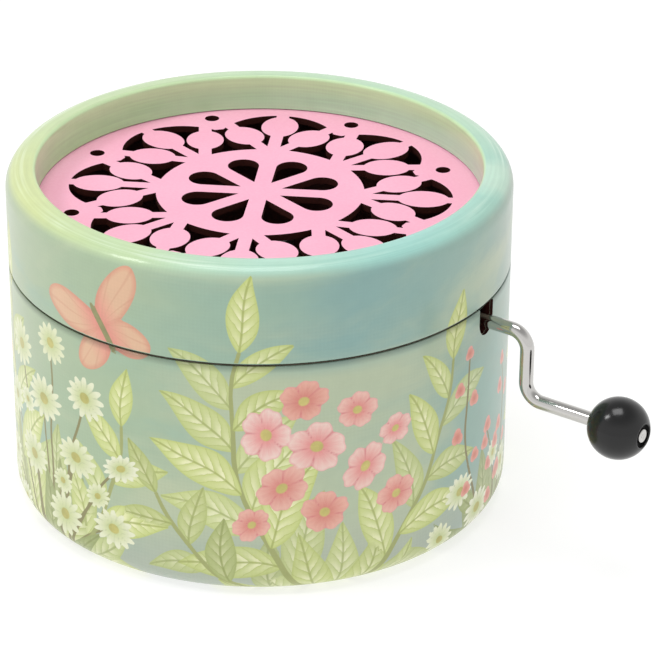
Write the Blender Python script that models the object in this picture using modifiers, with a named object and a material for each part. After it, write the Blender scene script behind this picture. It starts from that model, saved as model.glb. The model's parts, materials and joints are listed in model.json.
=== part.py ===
"""A round hand-cranked music box of printed board: base, neck and pull-off lid with a pierced grille,
and inside it a cylinder movement with its worm, wheel and comb.

Units are metres, +Z is up. The origin is the centre of the underside, and the crank shaft runs along +X.
Sizes are written in millimetres and turned to metres by mm().
"""

import math

import bmesh
import bpy
from mathutils import Matrix, Vector


def mm(value):
    """Millimetres to metres."""
    return value * 0.001


# Casing, all radii from the drum's axis
CASE_RADIUS = mm(36.0)
CASE_HEIGHT = mm(50.0)
SEAM_HEIGHT = mm(35.8)
SEAM_GAP = mm(0.3)
PAPER = mm(0.35)
GLUE_GAP = mm(0.15)
TUBE_BOARD = mm(1.7)
NECK_BOARD = mm(1.45)
DISC_BOARD = mm(2.0)
RIM_OUTER_ROUND = mm(2.8)
BOTTOM_ROUND = mm(3.4)
BOTTOM_LAND = mm(0.2)
STEEPEST_CORNER = 80.0
GRILLE_DEPTH = mm(5.5)
GRILLE_BOARD = mm(1.0)
ROUND_STEPS = 56
CORNER_STEPS = 4
BOARD_CORNER_STEPS = 2

# The notch in the base and the hole in the neck that the crank comes out through
NOTCH_HALF_WIDTH = mm(2.1)
NECK_HOLE_CLEARANCE = mm(0.5)

# Crank wire, measured along the shaft's axis from the drum's axis plane
SHAFT_OFFSET_Y = mm(4.8)
SHAFT_HEIGHT = mm(33.3)
WIRE_RADIUS = mm(1.0)
WIRE_BEND_X = mm(42.5)
WIRE_THROW = mm(10.0)
WIRE_BEND_RADIUS = mm(2.6)
KNOB_CENTRE_X = mm(57.55)
KNOB_RADIUS = mm(4.4)
KNOB_RECESS_RADIUS = mm(1.65)
KNOB_RECESS_DEPTH = mm(0.6)
KNOB_FOOT_RADIUS = mm(1.5)
WIRE_END_INSET = mm(0.45)
KNOB_BORE_CLEARANCE = mm(0.12)

# Worm and wheel
GEAR_MODULE = mm(0.6)
GEAR_TEETH = 24
GEAR_WIDTH = mm(2.4)
WORM_PITCH_RADIUS = mm(2.4)
WORM_TURNS = 4
WORM_STEPS = 16
SHAFT_STEPS = 20
THREAD_ROOT_SINK = mm(0.25)
TOOTH_ADDENDUM = mm(0.45)
TOOTH_DEDENDUM = mm(0.7)
TOOTH_BACKLASH = mm(0.22)
FLANK_ANGLE = math.radians(20)

# Cylinder
CYLINDER_X = mm(9.0)
CYLINDER_RADIUS = mm(6.5)
CYLINDER_WALL = mm(0.5)
CYLINDER_END_MARGIN = mm(0.625)
PIN_HEIGHT = mm(0.5)
PIN_RADIUS = mm(0.17)
PIN_TIP_RADIUS = mm(0.12)
PINS_PER_TRACK = 4
PIN_WANDER = 0.35
GOLDEN_SHARE = (math.sqrt(5) - 1) / 2
CAP_THICKNESS = mm(2.0)
ARBOR_RADIUS = mm(1.2)
ARBOR_PROUD = mm(0.6)

# Comb
NOTES = 18
NOTE_PITCH = mm(1.05)
TOOTH_GAP = mm(0.25)
COMB_THICKNESS = mm(0.6)
COMB_BASE_THICKNESS = mm(1.3)
COMB_LENGTH = mm(23.5)
COMB_BASE_LENGTH = mm(11.0)
SLOT_SLANT = mm(3.0)
HEEL_EDGE = mm(0.5)
TIP_CLEARANCE = mm(0.3)

# Bedplate and what stands on it
BED_UNDERSIDE = mm(12.0)
BED_THICKNESS = mm(2.2)
BED_MARGIN = mm(1.5)
BED_EDGE_ROUND = mm(0.6)
CAST_OVERLAP = mm(0.8)
POST_THICKNESS = mm(2.0)
POST_WALL = mm(1.0)
SHAFT_CLEARANCE = mm(0.14)
END_PLAY = mm(0.3)
WHEEL_SPACE = mm(0.9)
WHEEL_CLEARANCE = mm(0.6)

# Worm shaft
INNER_JOURNAL_RADIUS = mm(1.2)
OUTER_JOURNAL_RADIUS = mm(1.8)
SHAFT_COLLAR_RADIUS = mm(2.5)
SHAFT_COLLAR_WIDTH = mm(0.6)
SOCKET_DEPTH = mm(6.0)
SOCKET_CLEARANCE = mm(0.1)
SHAFT_TAIL = mm(4.4)
CLIP_RADIUS = mm(3.0)
CLIP_THICKNESS = mm(0.5)
CLIP_MOUTH_HALF_WIDTH = mm(0.9)
GROOVE_RADIUS = mm(1.5)
JOURNAL_PROUD = mm(0.8)

# Screws and board under the movement
BOARD_THICKNESS = mm(3.0)
BOARD_EDGE_GAP = mm(0.2)
SPACER_WALL = mm(2.5)
SCREW_SHANK_RADIUS = mm(1.0)
SCREW_HEAD_RADIUS = mm(2.1)
SCREW_HEAD_HEIGHT = mm(1.3)
SCREW_CLEARANCE = mm(0.15)
SCREW_SLOT_WIDTH = mm(0.5)
SCREW_SLOT_DEPTH = mm(0.5)
MOUNTING_SCREW_GRIP = mm(1.6)
COMB_SCREW_GRIP = mm(4.0)
COMB_SCREW_SETBACK = mm(4.0)
MOUNTING_SCREW_INSET = mm(4.0)

# Rosette of the grille: eight drop-shaped openings round a hub, and eight sprigs of three leaves
ROSETTE_COUNT = 8
ROSETTE_TURN = math.radians(-15.6)
ROSETTE_CENTRE = (mm(-1.0), mm(1.4))
MEDALLION_RADIUS = mm(14.9)
LOBE_CENTRE = mm(18.95)
LOBE_RADIUS = mm(8.65)
NOTCH_TOP_RADIUS = mm(23.1)
LOBE_STEPS = 11
MIDDLE_LEAF_CENTRE = (0.0, mm(23.4))
SIDE_LEAF_CENTRE = (mm(4.8), mm(19.5))
SIDE_LEAF_LEAN = math.radians(37.0)
MIDDLE_LEAF_HALF_LENGTH = mm(3.7)
SIDE_LEAF_HALF_LENGTH = mm(3.4)
LEAF_HALF_WIDTH = mm(2.75)
STEM_HALF_WIDTH = mm(0.95)
STEM_REACH = mm(9.5)
LEAF_STEPS = 6
DROP_CENTRE = mm(9.25)
DROP_RADIUS = mm(2.27)
DROP_TIP = mm(3.2)
SMALL_HOLE_CENTRE = mm(27.5)
SMALL_HOLE_RADIUS = mm(1.08)
CUT_MARGIN = mm(1.0)

# Worked-out places
TUBE_OUTER = CASE_RADIUS - PAPER - GLUE_GAP
TUBE_INNER = TUBE_OUTER - TUBE_BOARD
NECK_OUTER = TUBE_INNER - GLUE_GAP
NECK_INNER = NECK_OUTER - NECK_BOARD
WELL_RADIUS = NECK_INNER - GLUE_GAP - PAPER
RIM_CREST_RADIUS = CASE_RADIUS - RIM_OUTER_ROUND
RIM_INNER_ROUND = PAPER + GLUE_GAP
LID_BOTTOM = SEAM_HEIGHT + SEAM_GAP
GRILLE_TOP = CASE_HEIGHT - GRILLE_DEPTH
GRILLE_BOTTOM = GRILLE_TOP - GRILLE_BOARD
DISC_UNDERSIDE = PAPER + GLUE_GAP
DISC_TOP = DISC_UNDERSIDE + DISC_BOARD
NECK_BOTTOM = DISC_TOP + GLUE_GAP
NECK_TOP = GRILLE_BOTTOM - GLUE_GAP
BOARD_TOP = BED_UNDERSIDE - GLUE_GAP
BOARD_UNDERSIDE = BOARD_TOP - BOARD_THICKNESS
GEAR_PITCH_RADIUS = GEAR_MODULE * GEAR_TEETH / 2
GEAR_TIP_RADIUS = GEAR_PITCH_RADIUS + TOOTH_ADDENDUM
AXIAL_PITCH = math.pi * GEAR_MODULE
TOOTH_THICKNESS = AXIAL_PITCH / 2 - TOOTH_BACKLASH
CYLINDER_HEIGHT = SHAFT_HEIGHT - WORM_PITCH_RADIUS - GEAR_PITCH_RADIUS
GEAR_NEAR_Y = SHAFT_OFFSET_Y - GEAR_WIDTH / 2
GEAR_FAR_Y = SHAFT_OFFSET_Y + GEAR_WIDTH / 2
COMB_WIDTH = NOTES * NOTE_PITCH
BARREL_END_Y = GEAR_NEAR_Y - WHEEL_SPACE
BARREL_LENGTH = COMB_WIDTH + CYLINDER_END_MARGIN * 2
BARREL_START_Y = BARREL_END_Y - BARREL_LENGTH
COMB_CENTRE_Y = (BARREL_START_Y + BARREL_END_Y) / 2
COMB_TIP_X = CYLINDER_X - CYLINDER_RADIUS - PIN_HEIGHT - TIP_CLEARANCE
COMB_BACK_X = COMB_TIP_X - COMB_LENGTH
COMB_SEAT_X = COMB_BACK_X + COMB_BASE_LENGTH
COMB_TOP = CYLINDER_HEIGHT + COMB_THICKNESS / 2
COMB_UNDERSIDE = COMB_TOP - COMB_BASE_THICKNESS
BED_TOP = BED_UNDERSIDE + BED_THICKNESS
SEAT_TOP = COMB_UNDERSIDE - GLUE_GAP
GEAR_POST_Y = GEAR_FAR_Y + END_PLAY + POST_THICKNESS / 2
FAR_POST_Y = BARREL_START_Y - END_PLAY - POST_THICKNESS / 2
ARBOR_BORE = ARBOR_RADIUS + SHAFT_CLEARANCE
OUTER_POST_X = CYLINDER_X + GEAR_TIP_RADIUS + WHEEL_CLEARANCE + POST_THICKNESS / 2
INNER_POST_X = CYLINDER_X - GEAR_TIP_RADIUS - WHEEL_CLEARANCE - POST_THICKNESS / 2
INNER_BORE = INNER_JOURNAL_RADIUS + SHAFT_CLEARANCE
OUTER_BORE = OUTER_JOURNAL_RADIUS + SHAFT_CLEARANCE
WORM_ROOT_RADIUS = WORM_PITCH_RADIUS - TOOTH_DEDENDUM
SHAFT_END_X = OUTER_POST_X + POST_THICKNESS / 2 + SHAFT_TAIL
KNOB_HEIGHT = SHAFT_HEIGHT - WIRE_THROW
BED_BACK_X = COMB_BACK_X - BED_MARGIN
BED_FRONT_X = OUTER_POST_X + POST_THICKNESS / 2 + BED_MARGIN
BED_NEAR_Y = FAR_POST_Y - POST_THICKNESS / 2
BED_FAR_Y = GEAR_POST_Y + POST_THICKNESS / 2
COMB_SCREW_X = COMB_BACK_X + COMB_SCREW_SETBACK
COMB_SCREW_YS = (COMB_CENTRE_Y - COMB_WIDTH / 4, COMB_CENTRE_Y + COMB_WIDTH / 4)
MOUNTING_POINTS = (
    (BED_BACK_X + MOUNTING_SCREW_INSET, BED_FAR_Y - MOUNTING_SCREW_INSET),
    ((BED_BACK_X + BED_FRONT_X) / 2, BED_NEAR_Y + MOUNTING_SCREW_INSET),
    (BED_FRONT_X - MOUNTING_SCREW_INSET, BED_NEAR_Y + MOUNTING_SCREW_INSET),
)


# Blender helpers

for old in list(bpy.data.objects):
    bpy.data.objects.remove(old)

model = bpy.data.collections.new("music_box")
bpy.context.scene.collection.children.link(model)
cutters = bpy.data.collections.new("cutters")
bpy.context.scene.collection.children.link(cutters)


def material(name, colour, roughness, metallic=0.0):
    """A Principled BSDF with the piece's colour, roughness and metallic value."""
    made = bpy.data.materials.new(name)
    made.use_nodes = True
    shader = made.node_tree.nodes["Principled BSDF"]
    shader.inputs["Base Color"].default_value = (*colour, 1.0)
    shader.inputs["Roughness"].default_value = roughness
    shader.inputs["Metallic"].default_value = metallic
    made.diffuse_color = (*colour, 1.0)
    return made


PRINTED_PAPER = material("printed_paper", (0.38, 0.54, 0.42), 0.4)
PINK_CARD = material("pink_card", (0.95, 0.48, 0.64), 0.55)
GREY_BOARD = material("grey_board", (0.34, 0.30, 0.25), 0.9)
FIBRE_BOARD = material("fibre_board", (0.40, 0.26, 0.14), 0.8)
CAST_ZINC = material("cast_zinc", (0.55, 0.55, 0.56), 0.45, 1.0)
CHROME = material("chrome", (0.80, 0.80, 0.81), 0.08, 1.0)
STEEL = material("steel", (0.62, 0.62, 0.63), 0.3, 1.0)
BRASS = material("brass", (0.80, 0.58, 0.25), 0.3, 1.0)
BLACK_PLASTIC = material("black_plastic", (0.02, 0.02, 0.022), 0.25)
WHITE_PLASTIC = material("white_plastic", (0.80, 0.78, 0.72), 0.4)


def pivot(name, x, y, z):
    """An empty on a joint's axis, which the moving pieces are parented to."""
    empty = bpy.data.objects.new(name, None)
    empty.location = (x, y, z)
    model.objects.link(empty)
    return empty


def new_object(name, mesh, finish, collection=model):
    """A named object for a mesh or curve, in the model unless another collection is given."""
    made = bpy.data.objects.new(name, mesh)
    collection.objects.link(made)
    if finish:
        mesh.materials.append(finish)
    return made


def place(piece, carrier, x=0.0, y=0.0, z=0.0, turn=None):
    """Puts a piece at a world place, turned, under the empty that carries it."""
    piece.parent = carrier
    piece.location = Vector((x, y, z)) - carrier.location
    if turn:
        piece.rotation_euler = turn
    return piece


def as_cutter(piece):
    """A guide shape: drawn as a wire, left out of the model."""
    piece.hide_render = True
    piece.display_type = "WIRE"
    return piece


def turned(name, profile, finish, steps=ROUND_STEPS, collection=model, closed=True):
    """A turned solid: (radius, height) points, down the outer side first, screwed round Z."""
    mesh = bpy.data.meshes.new(name)
    count = len(profile)
    edges = [(i, i + 1) for i in range(count - 1)]
    if closed:
        edges.append((count - 1, 0))
    mesh.from_pydata([(r, 0.0, z) for r, z in profile], edges, [])
    made = new_object(name, mesh, finish, collection)
    screw = made.modifiers.new("turn", "SCREW")
    screw.axis = "Z"
    screw.angle = math.tau
    screw.steps = steps
    screw.render_steps = steps
    screw.use_merge_vertices = True
    screw.merge_threshold = mm(0.002)
    screw.use_smooth_shade = True
    return made


def ring(name, outer, inner, bottom, top, finish, steps=ROUND_STEPS, collection=model):
    """A plain tube or washer."""
    profile = [(outer, top), (outer, bottom), (inner, bottom), (inner, top)]
    return turned(name, profile, finish, steps, collection)


def disc(name, radius, bottom, top, finish, steps=ROUND_STEPS, collection=model):
    """A plain round disc or rod along Z."""
    profile = [(0.0, top), (radius, top), (radius, bottom), (0.0, bottom)]
    return turned(name, profile, finish, steps, collection, closed=False)


def arc(centre, radius, start, end, steps=CORNER_STEPS):
    """Points of an arc in a profile's plane, from one angle in degrees to another."""
    points = []
    for i in range(steps + 1):
        a = math.radians(start + (end - start) * i / steps)
        points.append((centre[0] + radius * math.cos(a), centre[1] + radius * math.sin(a)))
    return points


def box(name, low, high, finish=None, collection=model):
    """A block between two corners, its place in its mesh."""
    mesh = bpy.data.meshes.new(name)
    shape = bmesh.new()
    bmesh.ops.create_cube(shape, size=1.0)
    size = Vector(high) - Vector(low)
    middle = (Vector(high) + Vector(low)) / 2
    shape.transform(Matrix.Translation(middle) @ Matrix.Diagonal((*size, 1.0)))
    shape.to_mesh(mesh)
    shape.free()
    return new_object(name, mesh, finish, collection)


def rod(name, radius, start, end, finish=None, steps=24, collection=model):
    """A straight round rod between two points, made from a cone primitive of equal radii."""
    along = Vector(end) - Vector(start)
    mesh = bpy.data.meshes.new(name)
    shape = bmesh.new()
    bmesh.ops.create_cone(
        shape, cap_ends=True, segments=steps, radius1=radius, radius2=radius, depth=along.length
    )
    turn = along.to_track_quat("Z", "Y").to_matrix().to_4x4()
    shape.transform(Matrix.Translation((Vector(start) + Vector(end)) / 2) @ turn)
    shape.to_mesh(mesh)
    shape.free()
    return new_object(name, mesh, finish, collection)


def outline_plate(name, outlines, bottom, top, finish, collection=model):
    """A flat plate: closed 2D outlines, the inner ones holes, filled and extruded, then made a mesh."""
    curve = bpy.data.curves.new(name, "CURVE")
    curve.dimensions = "2D"
    curve.fill_mode = "BOTH"
    curve.extrude = (top - bottom) / 2
    for outline in outlines:
        spline = curve.splines.new("POLY")
        spline.points.add(len(outline) - 1)
        for point, (x, y) in zip(spline.points, outline):
            point.co = (x, y, 0.0, 1.0)
        spline.use_cyclic_u = True
    drawn = bpy.data.objects.new(name + "_curve", curve)
    collection.objects.link(drawn)
    drawn.location.z = (top + bottom) / 2
    return mesh_from(drawn, name, finish, collection)


def mesh_from(drawn, name, finish, collection=model):
    """Replaces a curve object by a closed mesh of the same shape and place."""
    bpy.context.view_layer.update()
    evaluated = drawn.evaluated_get(bpy.context.evaluated_depsgraph_get())
    mesh = bpy.data.meshes.new_from_object(evaluated)
    mesh.transform(drawn.matrix_world)
    bpy.data.objects.remove(drawn)
    mesh.name = name
    shape = bmesh.new()
    shape.from_mesh(mesh)
    bmesh.ops.remove_doubles(shape, verts=shape.verts, dist=mm(0.001))
    bmesh.ops.recalc_face_normals(shape, faces=shape.faces)
    shape.to_mesh(mesh)
    shape.free()
    mesh.materials.clear()
    return new_object(name, mesh, finish, collection)


def boolean(piece, operation, other):
    """A cut or a join of two closed shapes."""
    made = piece.modifiers.new(other.name, "BOOLEAN")
    made.operation = operation
    made.solver = "EXACT"
    made.object = other


def cut(piece, cutter):
    """Takes a guide shape out of a piece."""
    boolean(piece, "DIFFERENCE", as_cutter(cutter))


def join(piece, other):
    """Adds a guide shape to a piece."""
    boolean(piece, "UNION", as_cutter(other))


case = pivot("case", 0.0, 0.0, 0.0)
lid = pivot("lid_travel", 0.0, 0.0, LID_BOTTOM)
crank = pivot("crank_axis", 0.0, SHAFT_OFFSET_Y, SHAFT_HEIGHT)
handle = pivot("knob_axis", KNOB_CENTRE_X, SHAFT_OFFSET_Y, KNOB_HEIGHT)
drum = pivot("cylinder_axis", CYLINDER_X, 0.0, CYLINDER_HEIGHT)
ALONG_X = (0.0, math.pi / 2, 0.0)
ALONG_Y = (-math.pi / 2, 0.0, 0.0)


# Base of the casing: tube, bottom disc, their paper, and the neck that the lid slides over

def slot_cutter(name, half_width, bottom_centre, top, inner_x, outer_x):
    """A slot through the wall at the crank, round at its lower end, from a 2D outline stood on edge."""
    outline = [(half_width, top - bottom_centre)]
    outline += arc((0.0, 0.0), half_width, 0, -180, 8)
    outline.append((-half_width, top - bottom_centre))
    slot = outline_plate(name, [outline], inner_x, outer_x, None, cutters)
    # the outline's X goes to -Y, its Y to +Z and its thickness to +X
    slot.data.transform(Matrix(((0, 0, 1, 0), (1, 0, 0, 0), (0, 1, 0, 0), (0, 0, 0, 1))))
    slot.location = (0.0, SHAFT_OFFSET_Y, bottom_centre)
    return slot


notch = slot_cutter(
    "notch", NOTCH_HALF_WIDTH, SHAFT_HEIGHT, SEAM_HEIGHT + CUT_MARGIN,
    TUBE_INNER - NOTCH_HALF_WIDTH, CASE_RADIUS + CUT_MARGIN,
)
neck_hole = slot_cutter(
    "neck_hole", NOTCH_HALF_WIDTH + NECK_HOLE_CLEARANCE, SHAFT_HEIGHT, SEAM_HEIGHT + NECK_HOLE_CLEARANCE,
    NECK_INNER - CUT_MARGIN * 2, NECK_OUTER + CUT_MARGIN,
)


board_inset = PAPER + GLUE_GAP
disc_radius = TUBE_INNER - GLUE_GAP


def bottom_corner(inset, start=0.0, end=STEEPEST_CORNER, steps=CORNER_STEPS):
    """The rounded lower edge of the base, for a surface that lies inset behind the paper's face."""
    centre = (CASE_RADIUS - BOTTOM_ROUND, BOTTOM_ROUND)
    return arc(centre, BOTTOM_ROUND - inset, -start, -end, steps)


def corner_angle(radius):
    """How far round the lower edge the boards' face comes in to a radius."""
    return math.degrees(math.acos((radius - CASE_RADIUS + BOTTOM_ROUND) / (BOTTOM_ROUND - board_inset)))


base_wrap = turned(
    "base_wrap",
    [(CASE_RADIUS, SEAM_HEIGHT)] + bottom_corner(0.0)
    + bottom_corner(PAPER)[::-1] + [(CASE_RADIUS - PAPER, SEAM_HEIGHT)],
    PRINTED_PAPER,
)
cut(base_wrap, notch)
place(base_wrap, case)

# Below the tube the rounding runs on into the disc's lower edge, so the paper has board behind it
tube_end = corner_angle(TUBE_INNER + BOTTOM_LAND)
tube_corner = bottom_corner(board_inset, 0.0, tube_end, BOARD_CORNER_STEPS)
tube_bottom = tube_corner[-1][1]
base_tube = turned(
    "base_tube",
    [(TUBE_OUTER, SEAM_HEIGHT)] + tube_corner + [(TUBE_INNER, tube_bottom), (TUBE_INNER, SEAM_HEIGHT)],
    GREY_BOARD,
)
cut(base_tube, notch)
place(base_tube, case)

base_disc = turned(
    "base_disc",
    [(0.0, DISC_TOP), (disc_radius, DISC_TOP)]
    + bottom_corner(board_inset, corner_angle(disc_radius), 90.0, BOARD_CORNER_STEPS)
    + [(0.0, DISC_UNDERSIDE)],
    GREY_BOARD, closed=False,
)
place(base_disc, case)
paper_disc_radius = bottom_corner(PAPER)[-1][0] - GLUE_GAP
bottom_paper = disc("bottom_paper", paper_disc_radius, 0.0, PAPER, PRINTED_PAPER)
place(bottom_paper, case)

neck_tube = ring("neck_tube", NECK_OUTER, NECK_INNER, NECK_BOTTOM, NECK_TOP, GREY_BOARD)
cut(neck_tube, neck_hole)
place(neck_tube, case)


# Lid: tube, inner collar, the paper that covers both and the rim, and the grille

def outer_rim(inset, start=90.0, steps=CORNER_STEPS):
    """The rim's outer rounding, for a surface that lies inset behind the paper's face."""
    centre = (RIM_CREST_RADIUS, CASE_HEIGHT - RIM_OUTER_ROUND)
    return arc(centre, RIM_OUTER_ROUND - inset, start, 0, steps)


def inner_rim(inset, steps=CORNER_STEPS):
    """The rim's inner edge: the paper turned down into the well over the collar's square edge."""
    centre = (WELL_RADIUS + RIM_INNER_ROUND, CASE_HEIGHT - RIM_INNER_ROUND)
    return arc(centre, RIM_INNER_ROUND - inset, 180, 90, steps)


def over_rim(inset):
    """Up the well's wall, over the rim and down the lid's outer side."""
    well_foot = (WELL_RADIUS + inset, GRILLE_TOP + GLUE_GAP)
    return [well_foot] + inner_rim(inset) + outer_rim(inset) + [(CASE_RADIUS - inset, LID_BOTTOM)]


lid_wrap = turned("lid_wrap", over_rim(0.0) + over_rim(PAPER)[::-1], PRINTED_PAPER)
place(lid_wrap, lid)

# The paper bends over two board tubes; the outer one's top is rounded to carry it
tube_start = math.degrees(math.acos((TUBE_INNER - RIM_CREST_RADIUS) / (RIM_OUTER_ROUND - board_inset)))
lid_tube = turned(
    "lid_tube",
    outer_rim(board_inset, tube_start, BOARD_CORNER_STEPS)
    + [(TUBE_OUTER, LID_BOTTOM), (TUBE_INNER, LID_BOTTOM)],
    GREY_BOARD,
)
place(lid_tube, lid)

collar_foot = GRILLE_TOP + GLUE_GAP
collar_top = CASE_HEIGHT - board_inset
lid_collar = turned(
    "lid_collar",
    [(NECK_OUTER, collar_top - GLUE_GAP), (NECK_OUTER, collar_foot), (NECK_INNER, collar_foot)]
    + [(NECK_INNER, collar_top), (RIM_CREST_RADIUS, collar_top)],
    GREY_BOARD,
)
place(lid_collar, lid)


def turned_outline(outline, angle):
    """A 2D outline turned round the rosette's centre and moved there from the drum's axis."""
    c, s = math.cos(angle), math.sin(angle)
    return [(ROSETTE_CENTRE[0] + x * c - y * s, ROSETTE_CENTRE[1] + x * s + y * c) for x, y in outline]


def circle(centre, radius, points):
    """A round outline."""
    angles = [math.tau * i / points for i in range(points)]
    return [(centre[0] + radius * math.cos(a), centre[1] + radius * math.sin(a)) for a in angles]


def leaf_on_stem(centre, lean, half_length):
    """A straight stem that swells into an oval leaf: at each distance along it, the wider of the two."""
    along = (math.sin(lean), math.cos(lean))
    distances = [-STEM_REACH]
    distances += [-half_length * math.cos(math.pi * i / LEAF_STEPS) for i in range(LEAF_STEPS + 1)]
    distances.append(STEM_REACH)
    left, right = [], []
    for d in distances:
        oval = LEAF_HALF_WIDTH * math.sqrt(max(0.0, 1 - (d / half_length) ** 2))
        width = max(STEM_HALF_WIDTH, oval)
        x, y = centre[0] + along[0] * d, centre[1] + along[1] * d
        left.append((x - along[1] * width, y + along[0] * width))
        right.append((x + along[1] * width, y - along[0] * width))
    return left + right[::-1]


def drop():
    """A drop-shaped opening of the medallion: a round outer end drawn in to a point near the hub."""
    lean = math.degrees(math.acos(DROP_RADIUS / (DROP_CENTRE - DROP_TIP)))
    return [(0.0, DROP_TIP)] + arc((0.0, DROP_CENTRE), DROP_RADIUS, lean - 90, 270 - lean, 7)


def opening_edge():
    """The outer edge of the openings: eight arcs, and a shallow notch where two of them meet."""
    outline = []
    for i in range(ROSETTE_COUNT * LOBE_STEPS):
        around = math.tau * i / (ROSETTE_COUNT * LOBE_STEPS)
        off_axis = (around + step_angle / 2) % step_angle - step_angle / 2
        chord = math.sqrt(LOBE_RADIUS ** 2 - (LOBE_CENTRE * math.sin(off_axis)) ** 2)
        radius = max(LOBE_CENTRE * math.cos(off_axis) + chord, NOTCH_TOP_RADIUS)
        outline.append((radius * math.sin(around), radius * math.cos(around)))
    return outline


def grille_cutter(name, outlines, depth):
    """A plate that reaches past both faces of the grille."""
    return outline_plate(name, outlines, GRILLE_BOTTOM - depth, GRILLE_TOP + depth, None, cutters)


step_angle = math.tau / ROSETTE_COUNT
grille = disc("grille", NECK_OUTER - GLUE_GAP, GRILLE_BOTTOM, GRILLE_TOP, PINK_CARD)
medallion = circle((0.0, 0.0), MEDALLION_RADIUS, ROUND_STEPS // 2)
openings = grille_cutter(
    "openings",
    [turned_outline(opening_edge(), ROSETTE_TURN), turned_outline(medallion, ROSETTE_TURN)], CUT_MARGIN,
)
for k in range(ROSETTE_COUNT):
    spoke = ROSETTE_TURN + k * step_angle
    between = spoke + step_angle / 2
    leaves = [leaf_on_stem(MIDDLE_LEAF_CENTRE, 0.0, MIDDLE_LEAF_HALF_LENGTH)]
    for side in (-1, 1):
        centre = (side * SIDE_LEAF_CENTRE[0], SIDE_LEAF_CENTRE[1])
        leaves.append(leaf_on_stem(centre, side * SIDE_LEAF_LEAN, SIDE_LEAF_HALF_LENGTH))
    for n, outline in enumerate(leaves):
        cut(openings, grille_cutter(f"leaf_{k}_{n}", [turned_outline(outline, spoke)], CUT_MARGIN * 2))
    for n, outline in enumerate((drop(), circle((0.0, SMALL_HOLE_CENTRE), SMALL_HOLE_RADIUS, 8))):
        cut(grille, grille_cutter(f"hole_{k}_{n}", [turned_outline(outline, between)], CUT_MARGIN))
cut(grille, openings)
place(grille, lid)


# Board that the movement is screwed to, and the tube that holds it off the bottom

def screw_hole(name, x, y, bottom, top):
    """A clearance hole for a screw, past both faces of what it goes through."""
    radius = SCREW_SHANK_RADIUS + SCREW_CLEARANCE
    return rod(name, radius, (x, y, bottom - CUT_MARGIN), (x, y, top + CUT_MARGIN), None, 12, cutters)


spacer_tube = ring(
    "spacer_tube", NECK_INNER - BOARD_EDGE_GAP, NECK_INNER - BOARD_EDGE_GAP - SPACER_WALL,
    NECK_BOTTOM, BOARD_UNDERSIDE - GLUE_GAP, GREY_BOARD,
)
place(spacer_tube, case)
soundboard = disc("soundboard", NECK_INNER - BOARD_EDGE_GAP, BOARD_UNDERSIDE, BOARD_TOP, FIBRE_BOARD)
for n, (x, y) in enumerate(MOUNTING_POINTS):
    cut(soundboard, screw_hole(f"board_hole_{n}", x, y, BOARD_UNDERSIDE, BOARD_TOP))
place(soundboard, case)


# Bedplate: one zinc casting with the comb's seat and the four bearing posts

bedplate = box(
    "bedplate", (BED_BACK_X, BED_NEAR_Y, BED_UNDERSIDE), (BED_FRONT_X, BED_FAR_Y, BED_TOP), CAST_ZINC
)
bevel = bedplate.modifiers.new("rounded_edges", "BEVEL")
bevel.width = BED_EDGE_ROUND
bevel.segments = 2
bevel.limit_method = "ANGLE"

seat = box(
    "comb_seat",
    (COMB_BACK_X, COMB_CENTRE_Y - COMB_WIDTH / 2, BED_TOP - CAST_OVERLAP),
    (COMB_SEAT_X, COMB_CENTRE_Y + COMB_WIDTH / 2, SEAT_TOP),
    None, cutters,
)
join(bedplate, seat)


def post(name, low, high, bore_axis, bore_centre, bore_radius):
    """A bearing post on the bedplate, with its bore."""
    block = box(name, low, high, None, cutters)
    join(bedplate, block)
    reach = POST_THICKNESS / 2 + CUT_MARGIN
    start = Vector(bore_centre) - Vector(bore_axis) * reach
    end = Vector(bore_centre) + Vector(bore_axis) * reach
    return rod(name + "_bore", bore_radius, start, end, None, 24, cutters)


def arbor_post(name, y):
    """A post that carries one end of the cylinder's arbor."""
    half = ARBOR_BORE + POST_WALL * 2
    return post(
        name,
        (CYLINDER_X - half, y - POST_THICKNESS / 2, BED_TOP - CAST_OVERLAP),
        (CYLINDER_X + half, y + POST_THICKNESS / 2, CYLINDER_HEIGHT + ARBOR_BORE + POST_WALL),
        (0, 1, 0), (CYLINDER_X, y, CYLINDER_HEIGHT), ARBOR_BORE,
    )


def shaft_post(name, x, bore):
    """A post that carries one end of the worm shaft."""
    half = bore + POST_WALL
    return post(
        name,
        (x - POST_THICKNESS / 2, SHAFT_OFFSET_Y - half, BED_TOP - CAST_OVERLAP),
        (x + POST_THICKNESS / 2, SHAFT_OFFSET_Y + half, SHAFT_HEIGHT + bore + POST_WALL),
        (1, 0, 0), (x, SHAFT_OFFSET_Y, SHAFT_HEIGHT), bore,
    )


bores = [
    arbor_post("gear_post", GEAR_POST_Y),
    arbor_post("far_post", FAR_POST_Y),
    shaft_post("inner_post", INNER_POST_X, INNER_BORE),
    shaft_post("outer_post", OUTER_POST_X, OUTER_BORE),
]
for bore in bores:
    cut(bedplate, bore)
for n, (x, y) in enumerate(MOUNTING_POINTS):
    cut(bedplate, screw_hole(f"bed_hole_{n}", x, y, BED_UNDERSIDE, BED_TOP))
for n, y in enumerate(COMB_SCREW_YS):
    cut(bedplate, screw_hole(f"seat_hole_{n}", COMB_SCREW_X, y, SEAT_TOP - COMB_SCREW_GRIP, SEAT_TOP))
place(bedplate, case)


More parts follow.
